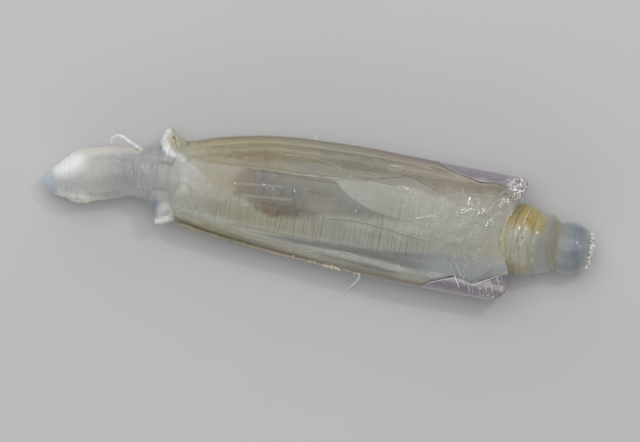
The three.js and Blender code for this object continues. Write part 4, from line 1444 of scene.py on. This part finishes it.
low = net.times(net.step(true_y, -3.6, -5.4), net.step(true_x, 33.4, 31.4))
net.paint(low, (160, 146, 106), 0.75)
net.paint(spot(36.9, 3.3, 0.9, 0.9, 0, 0.7), (146, 132, 96), 0.65)
net.paint(line(36.6, 2.5, 36.7, -3.4, 0.4, 0.8), (160, 152, 126), 0.55)
net.paint(net.times(net.step(net.absolute(true_y), 4.2, 5.6), net.step(true_x, 33.6, 35)), (164, 167, 160))
net.paint(net.step(crinkle, 0.68, 0.76), (134, 108, 64), 0.35)
for at_x, at_y, size in ((30.7, 0.3, 0.16), (36.8, 2.3, 0.2), (33.1, -4.2, 0.15), (31.2, 3.7, 0.15),
                         (28.6, 1.6, 0.14)):
    net.paint(spot(at_x, at_y, size, size * 2, 0, 0.6), (112, 76, 38), 0.8)
net.finish(sleeve, Coat_Weight=net.step(crinkle, 0.4, 0.6, 0.25, 0.6), Normal=net.bump(crinkle, 0.3, 0.0003))

# %% [markdown]
# ## The ligament
#
# A springy strip joins the valves along the hinge line. It is thickest near the front, and crumbles
# away towards the middle of the shell.

# %% Ligament
LIGAMENT_FRONT, LIGAMENT_REAR = -29.4, 0.5


def build_ligament(rows=260, sides=28):
    x = np.linspace(LIGAMENT_FRONT, LIGAMENT_REAR, rows)[:, None]
    angle = turns(sides)
    share = (x - LIGAMENT_FRONT) / (LIGAMENT_REAR - LIGAMENT_FRONT)
    ends = np.sqrt(np.clip(np.minimum(share, 1 - share) * 22, 0, 1))
    wide = mix(0.42, 0.2, share) * ends * (1 + 0.25 * ripple(x * 2.5, 81))
    tall = mix(0.8, 0.35, share) * ends
    y = dorsal(x) + 0.06 - wide * 0.6 + wide * np.cos(angle) + 0 * x
    z = MEETING + tall * np.sin(angle)
    rings = np.stack([np.broadcast_to(x, y.shape), y, z], -1)
    rings = rings + outward(rings) * (0.07 * lumps(rings, 0.6, 16) * ends)[..., None]
    return sack("hinge_ligament", rings)


ligament = build_ligament()
net = new_material("ligament_horn", Roughness=0.45, Subsurface_Weight=0.15, Subsurface_Scale=0.0006,
                   Coat_Roughness=0.2, Subsurface_Radius=(1.0, 0.8, 0.5))
place, _, _, (true_x, _, _) = warped_place(net, 0.3, 1.0)
layers = net.noise(net.stretch(place, 0.5, 4, 4), 1, 4, 0.6)
net.colour = net.between(layers, 0.35, 0.65, (126, 121, 96), (162, 155, 126))
net.paint(net.step(true_x, -17, -11), (176, 160, 144))
net.finish(ligament, Coat_Weight=net.step(layers, 0.4, 0.6, 0.1, 0.4), Normal=net.bump(layers, 0.4, 0.0002))

# %% [markdown]
# ## Fine lines under the shell
#
# Membranes and gills show through the shell as thin lines, pale where an edge faces us and dark where a
# gap lies between two filaments. They are strands, laid on the body by the strand tree. One finish
# serves them all: each strand carries its tone, from dark to pale, and its strength.

# %% Fading ends
FADE, net, given, result = new_group("fading_ends", [("Along", FLOAT, 0.5), ("Sharpness", FLOAT, 4.5)],
                                     [("Fade", FLOAT)])
nearest = net.least(given["Along"], net.minus(1, given["Along"]))
net.feed(result["Fade"], net.times(nearest, given["Sharpness"], clamp=True))
print("fading ends:", len(FADE.nodes), "nodes")

# %% Strand finish
net = new_material("strand_tissue", Roughness=0.3, Coat_Weight=0.3, Coat_Roughness=0.1,
                   Specular_IOR_Level=0.4)
place = net.group(RULER)[0]
tone, strength = net.number("tone"), net.number("strength")
ends = net.group(FADE, Along=net.number("along"))["Fade"]
uneven = net.noise(place, 0.9, 3, 0.6)
net.colour = net.between(tone, -1, 0, (76, 75, 68), (164, 148, 120))
net.paint(net.step(tone, 0, 1), (250, 250, 242))
patchy = net.step(uneven, 0.32, 0.6, 0.5, 1)
strand_skin = net.finish(Alpha=net.times(strength, ends, patchy, clamp=True))

# %% [markdown]
# The gill filaments cross the body every half millimetre or so. Each has its own ends and strength, so
# the rank looks grown. Both sides of the body get them.


# %% Gill filaments
def gill_lines(seed):
    """Guide lines across the body, with a thickness and a strength for each."""
    random = np.random.default_rng(seed)
    lines, thick, strength = [], [], []
    x = -23.0
    while x < 23.5:
        x += random.uniform(0.3, 1.0)
        lean = random.normal(0, 0.012)
        full = random.uniform(-6.9, -6.2), random.uniform(-3.0, 0.0)
        spans = [full]
        if x <= 14 and random.uniform() >= 0.5:
            spans.append((random.uniform(-1.4, 0), random.uniform(2.4, 4.0)))
        if random.uniform() < 0.3:
            spans.append((random.uniform(4.8, 5.6), random.uniform(6.6, 9.2)))
        for low, high in spans:
            y = np.linspace(low, high, 12)
            lines.append(np.column_stack([x + lean * y + 0.03 * np.sin(y * 1.3 + x), y]))
            thick.append(random.uniform(0.03, 0.06) * MM)
            weight = 1.0 if high < 1 else 0.6
            strength.append(weight * random.uniform(0.1, 0.55) * (0.55 if x > 12 or x < -14 else 1.0))
    return lines, thick, strength


filaments = []
for which, side in SIDES:
    lines, thick, strength = gill_lines(90 + int(side))
    mesh = side_guide(lines, side, thick=thick, strength=strength, tone=[-1.0] * len(lines))
    filaments.append(grow(f"{which}_gill_filaments", STRAND, mesh, Surface=body_sac, Spacing=0.35 * MM,
                          Waver=0.05 * MM, Sides=5, Material=strand_skin))

# %% [markdown]
# The membrane edges follow the contours that the colours were cut along, and a few lines of their own:
# the wavy edge of the mantle, the seams over the gut, and the cord that ends in a small ring by the hinge.


# %% Membrane edges
def stretch_of(contour, low, high):
    """The part of a contour between two x, as places."""
    x = np.linspace(low, high, 40)
    return np.column_stack([x, np.interp(x, *np.transpose(contour))])


ALONG_CONTOURS = (  # places, thickness in mm, strength, tone from dark (-1) to pale (1)
    (stretch_of(UPPER_SEAM, -27.5, 1), 0.06, 0.5, 1),
    (stretch_of(UPPER_SEAM, -9.5, -0.5), 0.1, 0.45, 1),
    (stretch_of(UPPER_SEAM, 0, 15.5), 0.08, 0.6, 1),
    (stretch_of(MEMBRANE_TOP, 1, 15.8), 0.07, 0.6, -0.5),
    (stretch_of(GILL_EDGE, -3, 8), 0.06, 0.3, 1),
    (stretch_of(UPPER_SEAM, 16, 27), 0.08, 0.35, 1),
)
OWN_LINES = (  # the same, with a pale tone where none is given
    ([(-27.2, 3.8), (-25.6, 4.3), (-23.4, 5.15), (-21.4, 6.35)], 0.09, 0.4),
    ([(-15.6, 6.6), (-13.4, 7.2), (-9.5, 7.7), (-5.4, 7.4), (-2.5, 6.9), (-0.9, 6.1), (-0.6, 5.2)], 0.06,
     0.45),
    ([(-0.55, 6.3), (-0.6, 5.6), (-0.5, 5)], 0.09, 0.6),
    ([(-14, 7.2), (-13.5, 6.3), (-13.7, 5.2), (-14.3, 4.3)], 0.1, 0.3),
    ([(0, 4.8), (3.4, 4.4), (7.2, 4.1), (10.5, 3.8), (14, 3.6), (18, 3.7)], 0.07, 0.45),
    ([(6.5, 5.1), (7.8, 4.7), (9.2, 5.3), (10.4, 4.6), (12.2, 4.9), (13.8, 4.5)], 0.1, 0.5),
    ([(-19.2, 1.15), (-15.7, 1.55), (-11.9, 1.9)], 0.05, 0.22),
    ([(-18.4, -0.8), (-14.2, -0.45), (-10.1, -0.15)], 0.06, 0.22),
    ([(5.2, 8.65), (7.4, 8.75), (8.9, 8.6)], 0.12, 0.6),
    ([(8.9, 8.6), (7.2, 7.9), (5, 7.7)], 0.07, 0.4),
    ([(-5.6, -2.85), (-4.2, -2.45), (-0.7, -2.1), (2.8, -2), (6.4, -2.35), (10.8, -2.9), (15, -3.4)], 0.07,
     0.5, -0.7),
    ([(-5.6, -2.5), (-2, -1.75), (3, -1.6), (8, -1.9), (13, -2.3)], 0.1, 0.3),
    ([(-10, -9), (-5.6, -8.4), (-3.5, -8), (-0.6, -7.65), (1.8, -7.6), (5.3, -8.3), (9.6, -8.55)], 0.09, 0.8,
     0.8),
    ([(-0.6, -7.6), (0.6, -7.75), (2.2, -7.6)], 0.12, 0.6, 0.5),
    ([(-0.1, -7.7), (-0.2, -8.5)], 0.07, 0.6, 0.6),
    ([(-26.5, -6.4), (-23.6, -5.7), (-20.6, -4.8)], 0.1, 0.35),
    ([(-28.5, -6.3), (-25.4, -5.2), (-22.4, -4)], 0.08, 0.3),
    ([(-25, -6.7), (-21.8, -5.9), (-19.4, -5.4)], 0.08, 0.35),
    ([(-17, -7.7), (-12, -8), (-7, -8.1), (-3, -7.9)], 0.12, 0.35),
    ([(-24, -7.2), (-20.3, -7.9), (-17, -8.5), (-12, -9.1)], 0.08, 0.5, 0.6),
    ([(14, 3.5), (17, 2.9), (19.5, 1.8)], 0.08, 0.3),
    ([(18.3, -0.4), (21.5, 0.7), (24.7, 2.3), (26.4, 3.9), (27.8, 5.6)], 0.07, 0.35),
    ([(19, -1.1), (21.8, -0.3), (24.2, 0.4), (26, 1.7)], 0.06, 0.3),
    ([(19.3, -3.3), (21.6, -3.7), (24.9, -4.95), (27.6, -6.4)], 0.08, 0.5),
    ([(16.5, 0.6), (18.4, -0.6), (20.2, -2), (22.6, -3.4)], 0.06, 0.2),
    ([(20, -4), (22.4, -5.4), (25.5, -7.6)], 0.08, 0.35),
    ([(15.6, -11), (17.6, -10), (19.4, -9), (20.6, -8.6)], 0.12, 0.55),
    ([(20.6, -8.5), (22.2, -9), (23.2, -9.4), (24.4, -8.8), (26.2, -7.8)], 0.13, 0.7),
    ([(14.6, 10.3), (17.4, 9.4), (20, 8.95), (22, 8.55), (24.6, 8.85), (26.3, 8.5)], 0.1, 0.4, 0.7),
    ([(17, 7.9), (20, 7.2), (23.5, 7.4), (26, 7)], 0.07, 0.3, 0.3),
    ([(9.73, -8.1), (10.2, -8.05), (10.45, -8.35), (10.2, -8.65), (9.75, -8.6), (9.6, -8.3), (9.75, -8.08)],
     0.07, 0.9),
)
membranes = []
rows = [*ALONG_CONTOURS, *((spline(places, 10), *look) for places, *look in OWN_LINES)]
lines, thick, strength = zip(*(row[:3] for row in rows))
tone = [row[3] if len(row) > 3 else 1.0 for row in rows]
for which, side in SIDES:
    mesh = side_guide(lines, side, thick=[size * MM for size in thick], strength=strength, tone=tone)
    membranes.append(grow(f"{which}_membrane_edges", STRAND, mesh, Surface=body_sac, Spacing=0.22 * MM,
                          Waver=0.12 * MM, Sides=8, Lift=0.02 * MM, Material=strand_skin))

# %% [markdown]
# ## Muscle fibres at the base of the siphon
#
# Fibres that pull the siphon in spread like a fan from its base into the body. Each is a pale strand.

# %% Siphon muscles
muscles = []
for which, side in SIDES:
    random = np.random.default_rng(120 + int(side))
    lines, thick, strength = [], [], []
    for share in np.linspace(-1, 1, 18) + random.normal(0, 0.05, 18):
        start = np.array([random.uniform(16.5, 22) + 2.5 * abs(share), 5.4 * share + random.normal(0, 0.3)])
        end = np.array([27.4 + 2.0 * abs(share) ** 2, 4.9 * share])
        bend = (start + end) / 2 + [0, random.normal(0, 0.25) - 0.5 * share]
        lines.append(spline([start, bend, end], 10))
        thick.append(random.uniform(0.02, 0.05) * MM)
        strength.append(random.uniform(0.1, 0.35))
    mesh = side_guide(lines, side, thick=thick, strength=strength, tone=[1.0] * len(lines))
    muscles.append(grow(f"{which}_siphon_muscles", STRAND, mesh, Surface=body_sac, Spacing=0.3 * MM,
                        Waver=0.2 * MM, Sides=5, Material=strand_skin))

# %% [markdown]
# ## Folds of the siphon's skin
#
# Thin, yellowish folds ring the skin wherever it is drawn in. The strand tree makes them too: here the
# guides are closed rings round the siphon, and their aim is inwards.

# %% Skin folds
FOLDS = ((28.15, 0.12, 0.95), (28.5, 0.07, 0.8), (28.9, 0.08, 0.8), (29.2, 0.05, 0.6), (29.75, 0.08, 0.8),
         (30.1, 0.05, 0.5),
         (30.7, 0.04, 0.4), (31.35, 0.09, 0.85), (31.55, 0.05, 0.6), (33.55, 0.08, 0.8), (33.75, 0.05, 0.6),
         (36.8, 0.07, 0.5),
         (37.1, 0.06, 0.6))
lines, aims, thick, strength = [], [], [], []
for number, (at_x, size, weight) in enumerate(FOLDS):
    rings, angle = siphon_rings(np.array([at_x]), 160)
    centre = np.array([at_x, 0.0, float(siphon_height(at_x))])
    far = centre + (rings[0] - centre) * 1.5
    far[:, 0] += bowed(far[:, 0], angle) + 0.12 * ripple(angle * 2.5 + number * 9, 73)
    inward = centre - far
    inward[:, 0] = 0
    lines.append(far)
    aims.append(inward / np.linalg.norm(inward, axis=1, keepdims=True))
    thick.append(size * MM * (1 + 0.35 * ripple(angle * 3 + number * 5, 74)))
    strength.append(weight * (0.75 + 0.25 * ripple(angle * 2 + number * 7, 75)))
mesh = guide(lines, aims, closed=True, thick=thick, strength=strength)

net = new_material("fold_skin", Roughness=0.34, Subsurface_Weight=0.2, Subsurface_Scale=0.0006,
                   Coat_Weight=0.4, Coat_Roughness=0.12)
place = net.group(RULER)[0]
net.colour = net.between(net.noise(place, 1.1, 4, 0.6), 0.36, 0.64, (204, 188, 140), (234, 228, 204))
fold_skin = net.finish(Alpha=net.number("strength"))
folds = grow("siphon_skin_folds", STRAND, mesh, Surface=sleeve, Spacing=0.25 * MM, Waver=0.1 * MM, Sides=8,
             Lift=0.01 * MM, Material=fold_skin)

# %% [markdown]
# ## Papillae at the siphon's tip
#
# The siphon's openings wear a fringe of tiny white papillae that keep sand out. The scatter tree plants a
# cone at each guide point: some dozens round the rim, and two small rings at the openings.

# %% Papillae
random = np.random.default_rng(140)
rim_turns = turns(150) + random.normal(0, 0.03, 150)
rim = np.column_stack([np.full(150, 44.5), np.cos(rim_turns) * random.uniform(1.9, 4.2, 150) - 0.1,
                       4.2 + np.sin(rim_turns) * random.uniform(1.9, 3.7, 150)])
openings = [np.array([45.0, at + 0.9 * math.cos(t), 4.2 + 0.8 * math.sin(t)])
            for at in (-1.1, 1.1) for t in turns(16)]
tips = np.vstack([rim, openings])
aims = np.column_stack([-np.ones(len(tips)), -0.12 * tips[:, 1], -0.12 * (tips[:, 2] - 4.2)])
mesh = guide(list(tips[:, None]), list(aims[:, None]), turn=random.uniform(0, 6, len(tips)),
             size=random.uniform(0.3, 0.7, len(tips)) * MM)
net = new_material("papilla_tissue", Roughness=0.35, Coat_Weight=0.3)
place = net.group(RULER)[0]
flecks = net.noise(place, 1.6, 2, 0.6)
net.colour = net.between(flecks, 0.4, 0.6, (222, 228, 230), (238, 236, 226))
net.paint(net.step(flecks, 0.62, 0.66), (120, 88, 62))
papilla_skin = net.finish()
papillae = grow("siphon_papillae", SCATTER, mesh, Surface=siphon, Shape=CONE, Tumble=0.12, Uneven=0.3, Seed=3,
                Material=papilla_skin)

# %% [markdown]
# ## Streaks and glints on the shell
#
# The film is crazed at both rear corners, with bright hairline streaks, and its wet wrinkles catch the
# light. Streaks are strands laid on the valves: some are the crazing, and the rest are painted highlights on
# the wrinkles and painted light along the body's rear edges. Glints are white squashed grains, set flat on
# the film as painted highlights.

# %% Film streaks
# The streaks at the two rear corners are the film's crazing. Those around the middle of the rear half are
# painted highlights on its wet wrinkles.
STREAKS = [  # x and y of both ends, thickness in mm, strength
    (19.7, -5.8, 21.5, -8.4, 0.06, 0.75), (19.9, -7.7, 21.4, -10.3, 0.09, 1),
           (18.9, -6.2, 19.6, -7.4, 0.05, 0.6),
    (21, -7.2, 22.2, -9.4, 0.04, 0.5), (22.7, -9.3, 23.4, -10.7, 0.07, 0.9),
           (23.6, -9.7, 24.1, -10.8, 0.05, 0.8),
    (24.5, -9.2, 25.3, -10.9, 0.05, 0.8), (25.6, -8.2, 26.3, -10.6, 0.05, 0.8),
           (26.2, -7.7, 27.3, -10, 0.06, 0.9),
    (27.3, -7, 28.3, -9, 0.05, 0.8), (28, -6.9, 28.8, -8.2, 0.04, 0.7), (26.9, -8.8, 27.6, -10.7, 0.04, 0.6),
    (26.4, 8.6, 28.4, 10.4, 0.05, 0.8), (26.9, 7.9, 28.9, 9.4, 0.06, 0.9), (27.6, 7.4, 29.4, 8.2, 0.07, 0.9),
    (26, 9.3, 27.3, 10.5, 0.04, 0.6), (27.9, 8.8, 28.6, 10.5, 0.04, 0.7), (28.6, 8.2, 29.6, 9.8, 0.05, 0.8),
    (18.6, 1, 20.4, 1.9, 0.04, 0.4), (20.5, 2.1, 22.8, 3.4, 0.05, 0.5), (21.6, 0.6, 24, 2, 0.04, 0.4),
    (24.2, 2, 26.2, 4.4, 0.05, 0.5), (25.4, 4.6, 27.2, 6.3, 0.05, 0.6), (12.4, 0.5, 15, 1.5, 0.06, 0.6),
]
random = np.random.default_rng(150)
for _ in range(34):
    x, y = random.uniform(22.6, 29), random.uniform(-10.9, -7.6)
    STREAKS.append((x, y, x + random.uniform(0.1, 0.5), y - random.uniform(0.3, 1.3), 0.03,
                    random.uniform(0.2, 0.6)))
for _ in range(26):
    x, y = random.uniform(25.8, 29.2), random.uniform(7.2, 10.2)
    STREAKS.append((x, y, x + random.uniform(0.3, 1.1), y + random.uniform(0.1, 0.8), 0.03,
                    random.uniform(0.3, 0.8)))
# Groups of short slanted dashes: painted highlights on the creases of the wet film.
CREASE_GLINTS = (  # how many dashes, middle, half sizes of the group
    (26, 20.3, 3.3, 1.4, 0.5), (20, 23, 3.9, 1.1, 0.8), (22, 24.4, 1.9, 1, 0.5), (34, 26.3, 6.2, 1.4, 1.3),
    (26, 28, 8, 1, 0.9), (22, 20.2, 1, 1.5, 0.7), (18, 17, 1.6, 2.2, 0.9), (14, 14, 1.2, 1.4, 0.4),
    (16, 22.4, -5, 2.2, 1.2), (10, 12, 5, 2.4, 0.6), (12, 17.5, -3, 3, 1.6), (34, 25.5, 4.6, 2.8, 1.2),
    (26, 19.6, 2.8, 2.4, 0.8), (18, 27.3, 6.9, 1.4, 0.8),
)
for seed, (count, *oval) in enumerate(CREASE_GLINTS):
    for x, y in strewn(400 + seed, count, *oval, 38):
        slope, size = math.radians(random.normal(38, 12)), random.uniform(0.06, 0.45)
        STREAKS.append((x, y, x + size * math.cos(slope), y + size * math.sin(slope),
                        random.uniform(0.03, 0.07), random.uniform(0.3, 1.0)))

# White streaks: partly the film's crazing, partly painted highlights and painted light.
net = new_material("film_streak", Roughness=0.2, Coat_Weight=0.6, Specular_IOR_Level=0.8)
place = net.group(RULER)[0]
net.colour = net.blend(net.noise(place, 2), (226, 230, 228), (246, 246, 240))
ends = net.group(FADE, Along=net.number("along"), Sharpness=6.0)["Fade"]
streak_skin = net.finish(Alpha=net.times(ends, net.number("strength")))
streaks = []
for (which, side), valve in zip(SIDES, (right_valve, left_valve)):
    rows = [row for row in STREAKS if side > 0 or abs(row[1]) > 5]  # none between the shell and the floor
    lines = [np.linspace((a, b), (c, d), 8) for a, b, c, d, _, _ in rows]
    # Pale lines along the body's rear edges, which also lay painted light over the shade of those edges.
    lines += [stretch_of(HINGE_CLEAR, 15.0, 28.6), stretch_of(HINGE_CLEAR, 19.5, 26.0) + 0.2,
              stretch_of(BELLY_CLEAR, 14.5, 27.5)]
    mesh = side_guide(lines, side, thick=[row[4] * MM for row in rows] + [0.08 * MM] * 3,
                      strength=[row[5] for row in rows] + [0.75, 0.5, 0.3])
    streaks.append(grow(f"{which}_film_streaks", STRAND, mesh, Surface=valve, Spacing=0.2 * MM,
                        Waver=0.14 * MM, Sides=5, Material=streak_skin))

# %% Glints
GLINTS = (  # how many, middle, half sizes, turn of the group, size of each in mm
    (9, 20.3, 3.2, 1.3, 0.45, 20, 0.14), (6, 22.8, 3.5, 0.7, 0.35, 35, 0.16),
          (9, 24.6, 1.8, 1, 0.5, 40, 0.13),
    (8, 26, 6, 1.2, 0.4, 25, 0.12), (12, 28.9, 7.1, 1.2, 0.6, 15, 0.11), (10, 28.7, 9, 1, 1.2, 60, 0.11),
    (5, 14.5, 1.3, 0.8, 0.25, 20, 0.13), (3, 12.4, 0.6, 0.5, 0.15, 10, 0.16), (2, 16, 2.9, 0.4, 0.2, 0, 0.12),
    (3, 9.4, 5.3, 0.5, 0.2, -20, 0.12), (3, 10.6, 4.7, 0.6, 0.2, -10, 0.11), (1, -20.1, 1, 0.1, 0.1, 0, 0.13),
    (1, -15.1, 1.6, 0.1, 0.1, 0, 0.17), (1, -13.4, 1.25, 0.1, 0.1, 0, 0.12),
          (3, -9.7, 1.5, 0.35, 0.35, -60, 0.14),
    (1, 0.3, 1.9, 0.1, 0.1, 0, 0.15), (2, 1.5, -0.1, 0.3, 0.15, 0, 0.13), (8, 21.2, -7.6, 0.5, 2.2, 25, 0.11),
    (10, 25.5, -9.4, 2.6, 1, 0, 0.11), (5, 27.9, -8.2, 0.5, 1.2, 30, 0.13),
          (6, 26.8, -10.8, 1.4, 0.2, 0, 0.16),
    (4, 16, -9.1, 0.7, 0.25, 0, 0.13), (14, 20, -2.5, 6, 3.5, 0, 0.07), (16, 10, -5, 10, 4, 0, 0.06),
    (12, 8, 6, 9, 2.4, 0, 0.06), (10, -12, 0, 10, 5, 0, 0.06), (16, 25.8, 5.4, 1.9, 0.8, 30, 0.1),
    (14, 23.4, 3.5, 1.7, 0.5, 30, 0.1), (12, 19.9, 3.2, 1.9, 0.5, 20, 0.11),
          (8, 13.6, 1.2, 1.3, 0.3, 15, 0.11),
)
places, sizes = [], []
for seed, (count, at_x, at_y, long, wide, angle, size) in enumerate(GLINTS):
    places.append(strewn(200 + seed, count, at_x, at_y, long, wide, angle))
    sizes.append(np.full(count, 0.75 * size * MM))
places, sizes = np.vstack(places), np.concatenate(sizes)
random = np.random.default_rng(160)
angles = random.normal(0.6, 0.5, len(places))
# Painted highlights: near-white glossy grains that stand for the glints of the wet film.
net = new_material("wet_glint", Roughness=0.08, Coat_Weight=1.0, Specular_IOR_Level=1.0)
place = net.group(RULER)[0]
net.colour = net.blend(net.noise(place, 3), (244, 246, 246), (255, 255, 250))
glint_skin = net.finish()
glints = []
for (which, side), valve in zip(SIDES, (right_valve, left_valve)):
    kept = (side > 0) | (np.abs(places[:, 1]) > 5)
    mesh = side_guide(places[kept][:, None], side, turn=angles[kept], size=sizes[kept])
    glints.append(grow(f"{which}_film_glints", SCATTER, mesh, Surface=valve, Shape=GRAIN,
                       Stretch=(1.5, 0.75, 0.35), Tumble=0.02,
                       Uneven=0.5, Seed=5, Material=glint_skin))

# %% [markdown]
# ## Crumbs and threads
#
# Bits of horny skin cling to the end of the ligament, and a few grains sit on the foot. They are
# scattered grains. Two torn threads and some hairs stick out, and are tapering hoses.

# %% Crumbs
CRUMBS = (  # how many, middle, half sizes, turn, size in mm
    (90, -0.9, -10.45, 1.5, 0.28, -5, 0.38), (60, -3.8, -10.1, 1.6, 0.16, -6, 0.24),
          (26, 2.6, -10.75, 1.6, 0.14, -3, 0.15),
    (40, -8, -9.65, 2.8, 0.12, -6, 0.14), (30, -16, -8.95, 4.5, 0.1, -7, 0.13),
)
places = [strewn(300 + seed, row[0], *row[1:6]) for seed, row in enumerate(CRUMBS)]
sizes = np.concatenate([np.full(row[0], row[6] * MM) for row in CRUMBS])
places = np.vstack(places)
random = np.random.default_rng(170)
low_points = np.column_stack([places[:, 0], np.full(len(places), -16.0),
                              MEETING + random.normal(0, 0.35, len(places))])
net = new_material("horny_crumb", Roughness=0.5, Coat_Weight=0.2, Subsurface_Weight=0.1,
                                       Subsurface_Scale=0.0003)
place = net.group(RULER)[0]
net.colour = net.between(net.noise(place, 1.8, 3, 0.6), 0.36, 0.64, (188, 177, 146), (224, 216, 194))
crumb_skin = net.finish()
mesh = guide(list(low_points[:, None]), [(0.0, 1.0, 0.0)] * len(places),
             turn=random.uniform(0, 6, len(places)),
             size=sizes)
hinge_crumbs = grow("hinge_crumbs", SCATTER, mesh, Surface=right_valve, Shape=GRAIN, Tumble=1.0, Uneven=0.5,
                    Seed=9,
                    Material=crumb_skin)

places = np.vstack([strewn(320, 14, -41.6, 4.6, 0.7, 0.4), strewn(321, 26, -47.4, -6.6, 2.2, 0.5),
                    strewn(322, 6, -30.5, 7.0, 1.2, 0.4)])
mesh = side_guide(places[:, None], 1.0, turn=np.arange(len(places)) * 1.7,
                  size=np.full(len(places), 0.13 * MM))
foot_crumbs = grow("foot_crumbs", SCATTER, mesh, Surface=foot, Shape=GRAIN, Tumble=1.0, Uneven=0.5, Seed=11,
                   Material=crumb_skin)

# %% Threads
THREADS = (  # name, places, radius at the root and at the tip in mm
    ("foot_thread",
     [(-37.4, 4, 6.4), (-38.5, 4.6, 7.3), (-39.8, 5.2, 7.8), (-40.9, 5.75, 7.7), (-42, 5.75, 7.2),
                     (-42.75, 5.1, 6.8), (-42.85, 4.2, 6.2)], 0.4, 0.14),
    ("foot_hair", [(-41.9, 5.55, 7.5), (-42.3, 6, 7.7), (-42.65, 6.5, 7.7)], 0.07, 0.03),
    ("belly_hair", [(-7.6, 11, 6.3), (-7.65, 11.5, 6.5), (-7.4, 12, 6.5)], 0.08, 0.03),
    ("hinge_thread",
     [(3.8, -10.7, 5.3), (4, -11.3, 4.9), (3.7, -12.1, 3.6), (3.2, -12.9, 2), (2.6, -13.6, 0.6),
                      (2.2, -14, 0.3)], 0.2, 0.09),
    ("hinge_hair", [(2.9, -10.7, 5.4), (3.1, -11.3, 5), (3.6, -11.6, 4.6)], 0.06, 0.03),
)
net = new_material("thread_fibre", Roughness=0.4, Coat_Weight=0.3)
place = net.group(RULER)[0]
net.colour = net.between(net.noise(place, 1.5), 0.35, 0.65, (214, 218, 222), (246, 247, 246))
thread_skin = net.finish()
threads = []
for name, places, root, tip in THREADS:
    line = spline(places, 12)
    share = np.linspace(0, 1, len(line))
    radii = mix(root, tip, share ** 0.6) * (1 + 0.2 * ripple(share * 9, 85))
    thread = hose(name, line, radii, 10)
    thread.data.materials.append(thread_skin)
    threads.append(thread)

for shape in (GRAIN, CONE):
    bpy.data.objects.remove(shape)

# %% [markdown]
# ## Handing the pieces to the frame
#
# Every piece rides on the frame's one body, and the construction pieces that the finished ones replace are
# hidden.
# The last lines print the size of the finished model.

# %% Pieces and their places in the frame
for piece, slot, nodes in ((right_valve, "valve", ["right_valve"]), (left_valve, "valve", ["left_valve"]),
                           (ligament, "ligament", ["ligament"]), (body_sac, "mantle", ["mantle"]),
                           (collar, "mantle", []), (foot, "foot", ["foot"]), (siphon, "siphon", ["siphon"]),
                           (sleeve, "siphon_skin", ["siphon_skin"]), (folds, "siphon_skin", []),
                           (papillae, "siphon", []), (hinge_crumbs, "ligament", []),
                           (foot_crumbs, "foot", []),
                           *[(piece, "mantle", []) for piece in filaments + membranes + muscles],
                           *[(piece, "valve", []) for piece in streaks + glints],
                           *[(piece, "foot", []) for piece in threads]):
    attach(piece, "root")
    if nodes:
        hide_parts(*nodes)

# %% Sizes
low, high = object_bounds()
print("visual size in mm:", [round(1000 * side, 1) for side in high - low])
print("visual from", [round(1000 * v, 2) for v in low], "to", [round(1000 * v, 2) for v in high])
